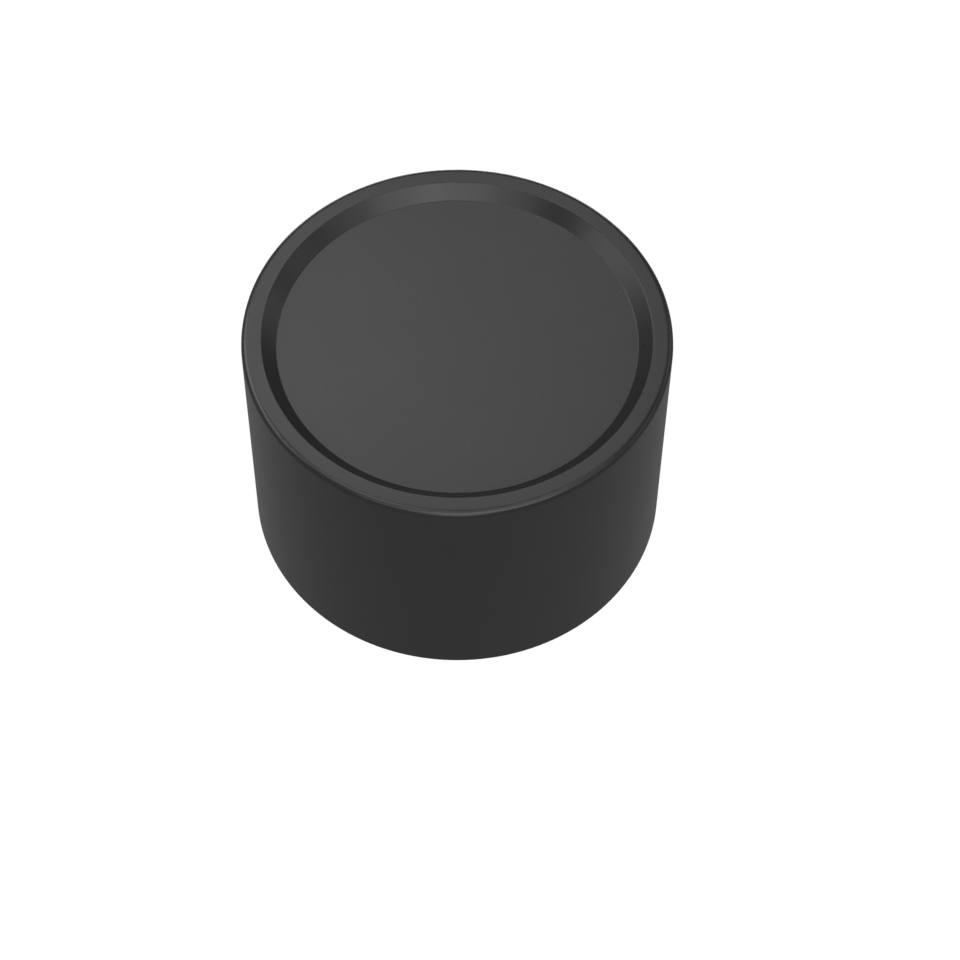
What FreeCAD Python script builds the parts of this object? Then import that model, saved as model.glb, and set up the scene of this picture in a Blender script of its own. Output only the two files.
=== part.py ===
import FreeCAD
import Part
import math
import os

# A pocket GNSS receiver: a round black housing with a dished top, a closed base with a 5/8 inch
# pole thread, and a service bezel let into the back wall with the power button, three status
# lights and a hinged door over the charging socket. Millimetres, +Z up, the origin on the axis
# where the rubber feet stand, -Y is the front and the bezel is on +Y.

Vector = FreeCAD.Vector
UP = Vector(0, 0, 1)

# Housing
outer_radius = 44.5
body_height = 57.3
foot_stand = 0.8
wall = 2.4
crown_wall = 2.2
rim_fillet = 1.4
rim_inner_radius = 40.3
dish_depth = 2.85
edge_break = 0.35

skirt_z = foot_stand
top_z = skirt_z + body_height
dish_z = top_z - dish_depth
dish_radius = rim_inner_radius - dish_depth
inner_radius = outer_radius - wall
ceiling_z = dish_z - crown_wall

# Base plate and the four screws that hold it to the housing
base_gap = 0.25
base_thickness = 5.0
base_z = skirt_z + 0.4
base_top_z = base_z + base_thickness
base_radius = inner_radius - base_gap
ring_section = 1.4
ring_groove_width = 2.0
ring_z = base_z + base_thickness / 2
boss_circle_radius = 37.3
boss_radius = 3.1
boss_height = 13.8
base_screw_radius = 1.45
base_screw_length = 13.0
base_screw_head_radius = 2.8
base_screw_head_height = 2.2

# Rubber feet and pressure vent in the underside
foot_radius = 4.5
foot_circle_radius = 35.5
foot_recess = 1.0
vent_radius = 4.5
vent_y = -27.0
vent_plug_height = 2.0
vent_membrane_height = 0.3
vent_membrane_radius = 3.6

# Pole insert with the 5/8-11 thread, bored to its minor diameter
thread_minor_radius = 6.75
thread_major_radius = 7.94
insert_radius = 11.0
insert_flange_radius = 16.5
insert_flange_height = 2.2
insert_z = base_z - 0.3
insert_top_z = 19.5
insert_bore_top_z = 17.4
insert_hole_gap = 0.15
insert_screw_circle = 13.8
insert_ring_section = 1.2

# Small machine screws, M2.5
m25_radius = 1.2
m25_clear_radius = 1.35
m25_tapped_radius = 1.25
m25_head_radius = 2.2
m25_head_height = 1.6

# Two round cells lie along X, one each side of the pole insert
cell_radius = 9.1
cell_length = 49.5
cell_offset_y = 23.5
cell_z = base_top_z + 10.3
tray_gap = 0.2
tray_height = 6.8
tray_half_x = 33.6
tray_half_y = 32.8
tray_radius = 41.2
tray_hole_radius = 17.3
tray_screw_x = 22.0
post_x = 30.0
post_y = 10.0
post_radius = 2.7
strip_thickness = 0.25
strip_width = 6.0

# Main board and antenna stack
board_z = 28.0
board_thickness = 1.6
board_top_z = board_z + board_thickness
board_radius = 38.5
standoff_length = 13.0
standoff_corner_radius = 2.6
plane_z = board_top_z + standoff_length
plane_thickness = 1.6
plane_top_z = plane_z + plane_thickness
plane_radius = 35.5
lower_patch_side = 46.0
upper_patch_side = 30.0
patch_height = 4.0
silver_thickness = 0.1
feed_offset = 5.0

# Service bezel in the back wall. Its pieces are drawn on the +Y axis and turned to their angle.
port_width = 8.94
port_height = 3.26
port_depth = 7.3
port_front_y = 40.2
port_z = board_top_z + port_height / 2
gasket_gap = 0.05
gasket_grip_gap = 0.02
gasket_rear_y = 39.0
gasket_front_y = 41.0
door_angle = 18.5
button_angle = -18.5
light_angles = (-4.2, 0.0, 4.2)
bezel_face_radius = outer_radius - 0.15
bezel_flange_radius = 43.1
bezel_back_radius = 40.6
bezel_half_x = 27.0
bezel_half_z = 8.6
bezel_step = 0.8
bezel_gasket = 0.1
rebate_gap = 0.15
window_gap = 0.2

# Door over the charging socket and its hinge
pocket_half_x = 6.7
pocket_half_z = 3.7
pocket_corner = 3.0
door_inner_radius = 43.35
door_free_x = 8.5
door_half_z = 5.0
door_corner = 2.0
door_gap = 0.15
hinge_x = -9.0
hinge_y = 42.0
hinge_radius = 1.35
hinge_clear = 1.7
hinge_wall_x = hinge_x - 1.8
knuckle_half = 2.4
pin_radius = 0.5
pin_half_length = 5.4
knuckle_bore_radius = 0.55

# Power button: a sealed plunger with a return spring, pressing a side-push switch
button_radius = 4.8
button_bore_radius = 5.0
button_face_y = 44.25
button_shoulder_y = 41.0
button_flange_radius = 5.9
button_flange_thickness = 0.85
button_chamber_radius = 6.1
button_boss_radius = 7.3
button_boss_y = 36.4
button_pip_radius = 1.5
button_pip_y = 36.05
button_ring_section = 0.88
retainer_y = 36.5
retainer_thickness = 0.8
retainer_hole_radius = 2.0
spring_radius = 4.0
spring_wire_radius = 0.22
switch_front_y = 35.0
switch_depth = 3.6
switch_half_x = 2.4
switch_height = 3.8
plunger_radius = 1.0
plunger_tip_y = 36.0
plunger_tail_y = 34.2
plunger_hole_y = 33.4

# Coaxial jumper and battery leads
coax_radius = 0.65
coax_x = 12.0
coax_bend_y = -29.0
lead_radius = 0.6


def cylinder(radius, low, high, x=0.0, y=0.0):
    """A round bar along Z."""
    return Part.makeCylinder(radius, high - low, Vector(x, y, low), UP)


def bar_y(radius, low, high, x=0.0, z=port_z):
    """A round bar along Y."""
    return Part.makeCylinder(radius, high - low, Vector(x, low, z), Vector(0, 1, 0))


def block(x0, x1, y0, y1, z0, z1):
    """A box given by its sides."""
    return Part.makeBox(x1 - x0, y1 - y0, z1 - z0, Vector(x0, y0, z0))


def rounded_wire(corners, closed):
    """Straight runs joined by tangent arcs. Each corner is a point and its radius, 0 for sharp."""
    count = len(corners)
    stretches = []
    for index, (point, radius) in enumerate(corners):
        at_end = not closed and index in (0, count - 1)
        if at_end or radius == 0:
            stretches.append((point, point, None))
            continue
        before = (corners[index - 1][0] - point).normalize()
        after = (corners[(index + 1) % count][0] - point).normalize()
        half_angle = before.getAngle(after) / 2
        reach = radius / math.tan(half_angle)
        bisector = (before + after).normalize()
        middle = point + bisector * (radius / math.sin(half_angle) - radius)
        stretches.append((point + before * reach, point + after * reach, middle))
    edges = []
    for index, (start, end, middle) in enumerate(stretches):
        if middle is not None:
            edges.append(Part.Arc(start, middle, end).toShape())
        if index + 1 < count or closed:
            following = stretches[(index + 1) % count][0]
            if end.distanceToPoint(following) > 1e-6:
                edges.append(Part.LineSegment(end, following).toShape())
    return Part.Wire(edges)


def turned(outline):
    """A solid of revolution about Z from corners (radius, z, fillet)."""
    corners = [(Vector(r, 0, z), fillet) for r, z, fillet in outline]
    face = Part.Face(rounded_wire(corners, closed=True))
    return face.revolve(Vector(0, 0, 0), UP, 360)


def ring_seal(centre_radius, section, z):
    """An O-ring about the Z axis."""
    return Part.makeTorus(centre_radius, section / 2, Vector(0, 0, z), UP)


def plate_y(x0, x1, z0, z1, corner, low, high):
    """A rounded rectangle in XZ, carried along Y from low to high."""
    points = [(x0, z0), (x1, z0), (x1, z1), (x0, z1)]
    corners = [(Vector(x, low, z), corner) for x, z in points]
    face = Part.Face(rounded_wire(corners, closed=True))
    return face.extrude(Vector(0, high - low, 0))


def plate_z(half_x, half_y, corner, low, high, x=0.0, y=0.0):
    """A rounded rectangle in XY about (x, y), carried along Z from low to high."""
    signs = [(-1, -1), (1, -1), (1, 1), (-1, 1)]
    corners = [(Vector(x + sx * half_x, y + sy * half_y, low), corner) for sx, sy in signs]
    face = Part.Face(rounded_wire(corners, closed=True))
    return face.extrude(Vector(0, 0, high - low))


def shell_band(inner, outer):
    """The tube of wall between two radii, as tall as the housing."""
    return cylinder(outer, 0, top_z).cut(cylinder(inner, 0, top_z))


def at_angle(shape, degrees):
    """A copy turned about the housing's axis, from the +Y axis towards -X."""
    copy = shape.copy()
    copy.rotate(Vector(0, 0, 0), UP, degrees)
    return copy


def circle_places(radius, count, first_degrees):
    """Evenly spaced places on a circle about the axis."""
    step = 360.0 / count
    angles = [math.radians(first_degrees + step * index) for index in range(count)]
    return [(radius * math.cos(a), radius * math.sin(a)) for a in angles]


def corner_places(x, y):
    """The four places (+-x, +-y)."""
    return [(sx * x, sy * y) for sx in (1, -1) for sy in (1, -1)]


def joined(shapes):
    """One solid from shapes that touch or overlap."""
    first, *others = shapes
    return first.fuse(others).removeSplitter()


def group(shapes):
    """Separate solids that share one node."""
    return Part.makeCompound(shapes)


boss_places = circle_places(boss_circle_radius, 4, 0)
foot_places = circle_places(foot_circle_radius, 4, 45)
insert_screw_places = circle_places(insert_screw_circle, 4, 45)
post_places = corner_places(post_x, post_y)
tray_screw_places = [(tray_screw_x, 0.0), (-tray_screw_x, 0.0)]


def housing_cap():
    """The deep moulded cap: side wall, rim, chamfered dish and four screw bosses."""
    channel_radius = dish_radius - crown_wall * math.tan(math.radians(22.5))
    cap = turned([
        (inner_radius, skirt_z, 0.0),
        (outer_radius, skirt_z, 0.2),
        (outer_radius, top_z, rim_fillet),
        (rim_inner_radius, top_z, edge_break),
        (dish_radius, dish_z, edge_break),
        (0.0, dish_z, 0.0),
        (0.0, ceiling_z, 0.0),
        (channel_radius, ceiling_z, 0.5),
        (channel_radius + dish_depth, ceiling_z + dish_depth, 0.5),
        (inner_radius, ceiling_z + dish_depth, 1.0),
    ])
    rib_half = 1.5
    for x, y in boss_places:
        angle = math.degrees(math.atan2(y, x))
        boss = cylinder(boss_radius, base_top_z, base_top_z + boss_height, x, y)
        rib = block(boss_circle_radius, inner_radius + wall / 2, -rib_half, rib_half,
                    base_top_z, base_top_z + boss_height)
        rib.rotate(Vector(0, 0, 0), UP, angle)
        cap = cap.fuse([boss, rib])
    for x, y in boss_places:
        pilot_depth = base_screw_length - base_thickness + base_screw_head_height + 1.0
        cap = cap.cut(cylinder(base_screw_radius + 0.05, base_top_z, base_top_z + pilot_depth, x, y))
    window_x = bezel_half_x - bezel_step + window_gap
    window_z = bezel_half_z - 1.0 + window_gap
    window = plate_y(-window_x, window_x, port_z - window_z, port_z + window_z, window_z - 0.1,
                     inner_radius / 2, outer_radius + 1)
    rebate_x = bezel_half_x + rebate_gap
    rebate_z = bezel_half_z + rebate_gap
    rebate = plate_y(-rebate_x, rebate_x, port_z - rebate_z, port_z + rebate_z, rebate_z - 0.1,
                     inner_radius / 2, outer_radius + 1)
    rebate = rebate.common(shell_band(bezel_flange_radius - bezel_gasket, outer_radius + 1))
    return cap.cut(window).cut(rebate).removeSplitter()


def base_plate():
    """The closed base: seal groove in its edge, recesses for feet, vent and screw heads."""
    groove_low = ring_z - ring_groove_width / 2
    groove_high = ring_z + ring_groove_width / 2
    groove_radius = inner_radius - ring_section
    plate = turned([
        (insert_radius + insert_hole_gap, base_z, 0.0),
        (base_radius, base_z, 0.3),
        (base_radius, groove_low, 0.0),
        (groove_radius, groove_low, 0.0),
        (groove_radius, groove_high, 0.0),
        (base_radius, groove_high, 0.0),
        (base_radius, base_top_z, 0.3),
        (insert_radius + insert_hole_gap, base_top_z, 0.0),
    ])
    cuts = []
    for x, y in boss_places:
        head_top = base_z + base_screw_head_height + 0.2
        cuts.append(cylinder(base_screw_head_radius + 0.3, base_z, head_top, x, y))
        cuts.append(cylinder(base_screw_radius + 0.25, base_z, base_top_z, x, y))
    for x, y in foot_places:
        cuts.append(cylinder(foot_radius, base_z, base_z + foot_recess, x, y))
    for x, y in insert_screw_places + tray_screw_places:
        cuts.append(cylinder(m25_tapped_radius, base_top_z - 3.8, base_top_z, x, y))
    vent_top = base_z + vent_plug_height + vent_membrane_height
    cuts.append(cylinder(vent_radius + 0.1, base_z, vent_top, 0, vent_y))
    cuts.append(cylinder(1.5, base_z, base_top_z, 0, vent_y))
    return plate.cut(cuts)


def base_seal_ring():
    """O-ring between the base's edge and the skirt."""
    return ring_seal(inner_radius - ring_section / 2, ring_section - 0.02, ring_z)


def pan_screw(radius, length, head_radius, head_height, socket_radius):
    """A pan-head screw with a six-point socket, head up, its seat on Z = 0."""
    head = turned([
        (0.0, 0.0, 0.0),
        (head_radius, 0.0, 0.0),
        (head_radius, head_height, head_height * 0.45),
        (0.0, head_height, 0.0),
    ])
    shank = cylinder(radius, -length, 0.2)
    tip = Part.makeCone(radius * 0.6, radius, 0.5, Vector(0, 0, -length - 0.5), UP)
    socket = Part.makePolygon([
        Vector(socket_radius * math.cos(math.radians(60 * k)),
               socket_radius * math.sin(math.radians(60 * k)), head_height * 0.35)
        for k in range(7)
    ])
    recess = Part.Face(socket).extrude(Vector(0, 0, head_height))
    return joined([head, shank, tip]).cut(recess)


def base_screws():
    """Four screws, heads in the underside."""
    screws = []
    seat_z = base_z + base_screw_head_height + 0.2
    for x, y in boss_places:
        screw = pan_screw(base_screw_radius, base_screw_length - base_thickness + 2.0,
                          base_screw_head_radius, base_screw_head_height, 1.4)
        screw.rotate(Vector(0, 0, 0), Vector(1, 0, 0), 180)
        screw.translate(Vector(x, y, seat_z))
        screws.append(screw)
    return group(screws)


def small_screws(places, seat_z, length):
    """M2.5 screws, heads up, seated at a height."""
    screws = []
    for x, y in places:
        screw = pan_screw(m25_radius, length, m25_head_radius, m25_head_height, 1.1)
        screw.translate(Vector(x, y, seat_z))
        screws.append(screw)
    return group(screws)


def rubber_feet():
    """Four pads in their recesses, standing proud of the skirt."""
    pads = []
    for x, y in foot_places:
        pad = turned([
            (0.0, 0.0, 0.0),
            (foot_radius - 0.05, 0.0, 0.4),
            (foot_radius - 0.05, base_z + foot_recess, 0.0),
            (0.0, base_z + foot_recess, 0.0),
        ])
        pad.translate(Vector(x, y, 0))
        pads.append(pad)
    return group(pads)


def vent_plug():
    """Breather cover with four small ways in."""
    plug = cylinder(vent_radius, base_z, base_z + vent_plug_height, 0, vent_y)
    ways = [
        cylinder(0.45, base_z, base_z + vent_plug_height, x, vent_y + y)
        for x, y in circle_places(1.9, 4, 45)
    ]
    return plug.cut(ways)


def vent_membrane():
    """Breathing membrane above the vent plug."""
    low = base_z + vent_plug_height
    return cylinder(vent_membrane_radius, low, low + vent_membrane_height, 0, vent_y)


def pole_insert():
    """Flanged brass insert, closed at its top, with the pole bore."""
    ring_low = base_z + 1.8
    ring_high = ring_low + 1.6
    groove_radius = insert_radius + insert_hole_gap - insert_ring_section
    mouth = thread_major_radius - thread_minor_radius
    insert = turned([
        (thread_major_radius, insert_z, 0.0),
        (insert_radius, insert_z, 0.3),
        (insert_radius, ring_low, 0.0),
        (groove_radius, ring_low, 0.0),
        (groove_radius, ring_high, 0.0),
        (insert_radius, ring_high, 0.0),
        (insert_radius, base_top_z, 0.0),
        (insert_flange_radius, base_top_z, 0.3),
        (insert_flange_radius, base_top_z + insert_flange_height, 0.3),
        (insert_radius, base_top_z + insert_flange_height, 0.4),
        (insert_radius, insert_top_z, 0.6),
        (0.0, insert_top_z, 0.0),
        (0.0, insert_bore_top_z, 0.0),
        (thread_minor_radius, insert_bore_top_z, 0.0),
        (thread_minor_radius, insert_z + mouth, 0.0),
    ])
    flange_top = base_top_z + insert_flange_height
    holes = [
        cylinder(m25_clear_radius, base_top_z, flange_top, x, y) for x, y in insert_screw_places
    ]
    return insert.cut(holes)


def insert_seal_ring():
    """O-ring round the pole insert."""
    centre = insert_radius + insert_hole_gap - insert_ring_section / 2
    return ring_seal(centre, insert_ring_section - 0.02, base_z + 2.6)


def battery_tray():
    """Moulded cradle: two troughs, end walls and four posts under the main board."""
    tray_top = base_top_z + tray_height
    tray = block(-tray_half_x, tray_half_x, -tray_half_y, tray_half_y, base_top_z, tray_top)
    tray = tray.common(cylinder(tray_radius, base_top_z, tray_top))
    end_low = cell_length / 2 + strip_thickness + 0.1
    end_high = end_low + 1.8
    adds = []
    for side in (1, -1):
        for cell_y in (cell_offset_y, -cell_offset_y):
            xs = sorted((side * end_low, side * end_high))
            adds.append(block(xs[0], xs[1], cell_y - 6, cell_y + 6, tray_top - 1, tray_top + 6))
    for x, y in post_places:
        adds.append(cylinder(post_radius, base_top_z, board_z, x, y))
    tray = joined([tray] + adds)
    cuts = [cylinder(tray_hole_radius, base_top_z, tray_top)]
    for cell_y in (cell_offset_y, -cell_offset_y):
        cuts.append(Part.makeCylinder(cell_radius + tray_gap, 2 * end_low,
                                      Vector(-end_low, cell_y, cell_z), Vector(1, 0, 0)))
    for x, y in post_places:
        cuts.append(cylinder(m25_tapped_radius, board_z - 8, board_z, x, y))
    for x, y in tray_screw_places:
        cuts.append(cylinder(m25_clear_radius, base_top_z, tray_top, x, y))
        cuts.append(cylinder(m25_head_radius + 0.4, base_top_z + 2.2, tray_top, x, y))
    cuts.append(cylinder(4.0, base_top_z, tray_top, 0, vent_y))
    return tray.cut(cuts)


def battery_cells():
    """Two round cells lying head to tail, each with its crimp groove and raised button."""
    half = cell_length / 2
    cell = turned([
        (0.0, -half, 0.0),
        (cell_radius, -half, 0.7),
        (cell_radius, half - 2.6, 0.0),
        (cell_radius - 0.6, half - 2.2, 0.0),
        (cell_radius, half - 1.8, 0.0),
        (cell_radius, half - 0.3, 0.5),
        (5.2, half - 0.3, 0.0),
        (5.2, half - 0.9, 0.0),
        (3.4, half - 0.9, 0.0),
        (3.0, half, 0.3),
        (0.0, half, 0.0),
    ])
    cells = []
    for side, turn in ((1, 90), (-1, -90)):
        copy = cell.copy()
        copy.rotate(Vector(0, 0, 0), Vector(0, 1, 0), turn)
        copy.translate(Vector(0, side * cell_offset_y, cell_z))
        cells.append(copy)
    return group(cells)


def cell_strips():
    """Nickel strips: one bridge between the cells at +X and a tab on each cell at -X."""
    near = cell_length / 2
    far = near + strip_thickness
    half = strip_width / 2
    bridge = block(near, far, -cell_offset_y - 4, cell_offset_y + 4, cell_z - half, cell_z + half)
    tabs = [
        block(-far, -near, min(y0, y1), max(y0, y1), cell_z - half, cell_z + half)
        for y0, y1 in ((13.0, cell_offset_y + 4), (-13.0, -cell_offset_y - 4))
    ]
    return group([bridge] + tabs)


def swept_tube(points, radius):
    """A round cord through points, each corner an arc as large as its two runs allow."""
    corners = []
    for index, point in enumerate(points):
        bend = 0.0
        if 0 < index < len(points) - 1:
            back = points[index - 1] - point
            ahead = points[index + 1] - point
            half_turn = (math.pi - back.getAngle(ahead)) / 2
            bend = 0.45 * min(back.Length, ahead.Length) / math.tan(half_turn)
        corners.append((point, bend))
    path = rounded_wire(corners, closed=False)
    print("cord bends (mm):", [round(bend, 1) for _, bend in corners if bend])
    along = (points[1] - points[0]).normalize()
    circle = Part.Wire(Part.makeCircle(radius, points[0], along))
    tube = path.makePipeShell([circle], True, False)
    expected = math.pi * radius ** 2 * path.Length
    print("cord volume over section times length:", round(tube.Volume / expected, 4))
    return tube


def battery_lead(side):
    """One lead from a cell's tab to the battery plug, on the side of Y given by its sign."""
    tab_x = -(cell_length / 2 + strip_thickness + lead_radius + 0.05)
    plug_x = -17.0
    lead = swept_tube([
        Vector(tab_x, side * 16.5, cell_z),
        Vector(tab_x, side * 8.5, cell_z + 1.0),
        Vector(tab_x + 2.6, side * 3.2, cell_z + 6.5),
        Vector(plug_x, side * 1.3, board_z - 3.2),
    ], lead_radius)
    return lead.cut(battery_plug())


def battery_plug():
    """Two-way plug on the battery leads."""
    body = block(-17.0, -9.6, -3.0, 3.0, board_z - 4.8, board_z - 1.6)
    ramp = block(-15.0, -12.0, -0.9, 0.9, board_z - 1.7, board_z - 1.2)
    return joined([body, ramp])


def battery_socket():
    """Header under the main board that takes the battery plug."""
    body = block(-15.0, -8.0, -3.9, 3.9, board_z - 5.6, board_z)
    cavity = block(-15.0, -9.5, -3.1, 3.1, board_z - 4.9, board_z - 1.5)
    slot = block(-15.0, -11.5, -1.2, 1.2, board_z - 1.6, board_z - 1.0)
    return body.cut([cavity, slot])


def main_board():
    """Round circuit board, cut away where the button's housing passes."""
    board = cylinder(board_radius, board_z, board_top_z)
    notch = block(-button_boss_radius - 0.6, button_boss_radius + 0.6, button_boss_y - 0.8,
                  board_radius + 1, board_z, board_top_z)
    holes = [cylinder(m25_clear_radius, board_z, board_top_z, x, y) for x, y in post_places]
    return board.cut([at_angle(notch, button_angle)] + holes)


def shield_can(half_x, half_y, height, low, x, y):
    """A drawn metal shield lying on a board."""
    return plate_z(half_x, half_y, 0.8, low, low + height, x, y)


def board_chips():
    """Processor, memory and charger packages on the main board."""
    return group([
        plate_z(5.0, 5.0, 0.2, board_top_z, board_top_z + 1.0, 19.0, 6.0),
        plate_z(4.0, 3.0, 0.2, board_top_z, board_top_z + 0.9, -19.0, 8.0),
        plate_z(2.0, 2.0, 0.1, board_top_z, board_top_z + 0.8, -20.0, -4.0),
    ])


def power_inductors():
    """Two wound inductors of the power supply."""
    return group([
        plate_z(2.5, 2.5, 0.7, board_top_z, board_top_z + 2.4, -27.0, -3.0),
        plate_z(2.5, 2.5, 0.7, board_top_z, board_top_z + 2.4, -21.5, -13.0),
    ])


def usb_socket_shell():
    """Drawn steel shell of the charging socket, open to the back."""
    half_x = port_width / 2
    half_z = port_height / 2
    rear_y = port_front_y - port_depth
    shell = plate_y(-half_x, half_x, port_z - half_z, port_z + half_z, 1.5, rear_y, port_front_y)
    skin = 0.3
    hollow = plate_y(-half_x + skin, half_x - skin, port_z - half_z + skin, port_z + half_z - skin,
                     1.2, rear_y + 1.0, port_front_y + 1)
    return at_angle(shell.cut(hollow), door_angle)


def usb_socket_tongue():
    """Moulded tongue with the socket's contacts."""
    rear_y = port_front_y - port_depth
    tongue = block(-3.35, 3.35, rear_y + 1.0, port_front_y - 0.6, port_z - 0.35, port_z + 0.35)
    return at_angle(tongue, door_angle)


def usb_socket_gasket():
    """Silicone collar that fills the charging pocket round the socket's shell."""
    half_x = pocket_half_x - gasket_gap
    half_z = pocket_half_z - gasket_gap
    collar = plate_y(-half_x, half_x, port_z - half_z, port_z + half_z, pocket_corner - gasket_gap,
                     gasket_rear_y, gasket_front_y)
    shell_x = port_width / 2 + gasket_grip_gap
    shell_z = port_height / 2 + gasket_grip_gap
    passage = plate_y(-shell_x, shell_x, port_z - shell_z, port_z + shell_z, 1.5 + gasket_grip_gap,
                      gasket_rear_y - 1, gasket_front_y + 1)
    return at_angle(collar.cut(passage), door_angle)


def power_switch_body():
    """Side-push switch at the board's edge."""
    body = block(-switch_half_x, switch_half_x, switch_front_y - switch_depth, switch_front_y,
                 board_top_z, board_top_z + switch_height)
    hole = bar_y(plunger_radius + 0.05, plunger_hole_y, switch_front_y)
    return at_angle(body.cut(hole), button_angle)


def power_switch_plunger():
    """The switch's moving stem."""
    stem = bar_y(plunger_radius, plunger_tail_y, plunger_tip_y)
    return at_angle(stem, button_angle)


def status_leds():
    """Three side-shining lights on the board behind the light pipe."""
    led = block(-0.8, 0.8, 36.7, 37.7, board_top_z, board_top_z + 1.3)
    return group([at_angle(led, angle) for angle in light_angles])


def light_pipe():
    """Clear moulding: three rods through the bezel on one bar."""
    rods = [at_angle(bar_y(1.0, 38.2, bezel_face_radius - 0.15), angle) for angle in light_angles]
    bar = block(-4.4, 4.4, 38.8, 40.0, port_z - 0.9, port_z + 0.9)
    return joined([bar] + rods)


def hinge_ears():
    """The bezel's two hinge ears, above and below the door's knuckle."""
    ears = []
    clear = knuckle_half + 0.15
    reach = door_half_z + door_gap
    for low, high in ((port_z - reach, port_z - clear), (port_z + clear, port_z + reach)):
        barrel = cylinder(hinge_radius, low, high, hinge_x, hinge_y)
        root = block(hinge_wall_x - 0.2, hinge_x, bezel_back_radius - 0.6, hinge_y + 0.9, low, high)
        foot = block(hinge_x - 0.1, hinge_x + 1.0, bezel_back_radius - 0.6, hinge_y - 0.8, low, high)
        ears += [barrel, root, foot]
    return ears


def control_bezel():
    """Service bezel: door recess and hinge, charging pocket, light holes and button chamber."""
    half_z = bezel_half_z
    step_x = bezel_half_x - bezel_step
    step_z = half_z - 1.0
    flange = plate_y(-bezel_half_x, bezel_half_x, port_z - half_z, port_z + half_z, half_z - 0.1,
                     inner_radius / 2, outer_radius + 1)
    flange = flange.common(shell_band(bezel_flange_radius, bezel_face_radius))
    body = plate_y(-step_x, step_x, port_z - step_z, port_z + step_z, step_z - 0.1,
                   inner_radius / 2, outer_radius + 1)
    body = body.common(shell_band(bezel_back_radius, bezel_flange_radius + 0.1))
    boss = at_angle(bar_y(button_boss_radius, button_boss_y, button_shoulder_y + 1), button_angle)
    bezel = joined([flange, body, boss])

    reach = door_half_z + door_gap
    recess = plate_y(hinge_wall_x, door_free_x + door_gap, port_z - reach, port_z + reach,
                     door_corner + door_gap, inner_radius / 2, outer_radius + 1)
    recess = recess.common(shell_band(door_inner_radius - 0.1, outer_radius + 1))
    hinge_pocket = block(hinge_wall_x, hinge_x + hinge_clear, hinge_y - 1.6, outer_radius + 1,
                         port_z - reach, port_z + reach)
    nail_notch = cylinder(1.3, port_z - 2.5, port_z + 2.5, door_free_x + 0.2, bezel_face_radius + 0.25)
    for cutter in (recess, hinge_pocket, nail_notch):
        bezel = bezel.cut(at_angle(cutter, door_angle))
    bezel = joined([bezel] + [at_angle(ear, door_angle) for ear in hinge_ears()])

    pocket = plate_y(-pocket_half_x, pocket_half_x, port_z - pocket_half_z, port_z + pocket_half_z,
                     pocket_corner, inner_radius / 2, outer_radius + 1)
    pin_hole = cylinder(pin_radius, port_z - pin_half_length, port_z + pin_half_length,
                        hinge_x, hinge_y)
    bezel = bezel.cut([at_angle(pocket, door_angle), at_angle(pin_hole, door_angle)])
    bore = bar_y(button_bore_radius, button_shoulder_y - 0.1, outer_radius + 1)
    chamber = bar_y(button_chamber_radius, button_boss_y - 1, button_shoulder_y)
    bezel = bezel.cut([at_angle(bore, button_angle), at_angle(chamber, button_angle)])
    lights = [at_angle(bar_y(1.05, 38.0, outer_radius + 1), angle) for angle in light_angles]
    return bezel.cut(lights)


def bezel_seal():
    """Thin bonded gasket between the bezel's flange and the housing."""
    half_z = bezel_half_z
    window_x = bezel_half_x - bezel_step + window_gap
    window_z = half_z - 1.0 + window_gap
    outer = plate_y(-bezel_half_x, bezel_half_x, port_z - half_z, port_z + half_z, half_z - 0.1,
                    inner_radius / 2, outer_radius + 1)
    inner = plate_y(-window_x, window_x, port_z - window_z, port_z + window_z, window_z - 0.1,
                    inner_radius / 2, outer_radius + 1)
    band = shell_band(bezel_flange_radius - bezel_gasket, bezel_flange_radius)
    return outer.cut(inner).common(band)


def port_door():
    """Curved door over the charging socket, with its hinge knuckle."""
    skin = plate_y(hinge_x - 6, door_free_x, port_z - door_half_z, port_z + door_half_z,
                   door_corner, inner_radius / 2, outer_radius + 1)
    skin = skin.common(shell_band(door_inner_radius, bezel_face_radius))
    reach = door_half_z + 1
    skin = skin.cut([
        block(hinge_x - 10, hinge_x, 30, 50, port_z - reach, port_z + reach),
        block(hinge_x - 10, hinge_x + 1.55, 30, 50, port_z - reach, port_z - knuckle_half),
        block(hinge_x - 10, hinge_x + 1.55, 30, 50, port_z + knuckle_half, port_z + reach),
    ])
    knuckle = cylinder(hinge_radius, port_z - knuckle_half, port_z + knuckle_half, hinge_x, hinge_y)
    bore = cylinder(knuckle_bore_radius, port_z - reach, port_z + reach, hinge_x, hinge_y)
    return at_angle(joined([skin, knuckle]).cut(bore), door_angle)


def port_door_seal():
    """Soft plug on the door's inner face that closes the charging pocket."""
    lip = 0.2
    plug = plate_y(-pocket_half_x + lip, pocket_half_x - lip, port_z - pocket_half_z + lip,
                   port_z + pocket_half_z - lip, pocket_corner - lip, 41.4, outer_radius)
    hollow = plate_y(-5.2, 5.2, port_z - 2.2, port_z + 2.2, 1.8, 41.0, 42.5)
    plug = plug.cut(hollow).common(cylinder(door_inner_radius, 0, top_z))
    return at_angle(plug, door_angle)


def port_hinge_pin():
    """Steel pin of the door's hinge."""
    pin = cylinder(pin_radius, port_z - pin_half_length, port_z + pin_half_length, hinge_x, hinge_y)
    return at_angle(pin, door_angle)


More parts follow.
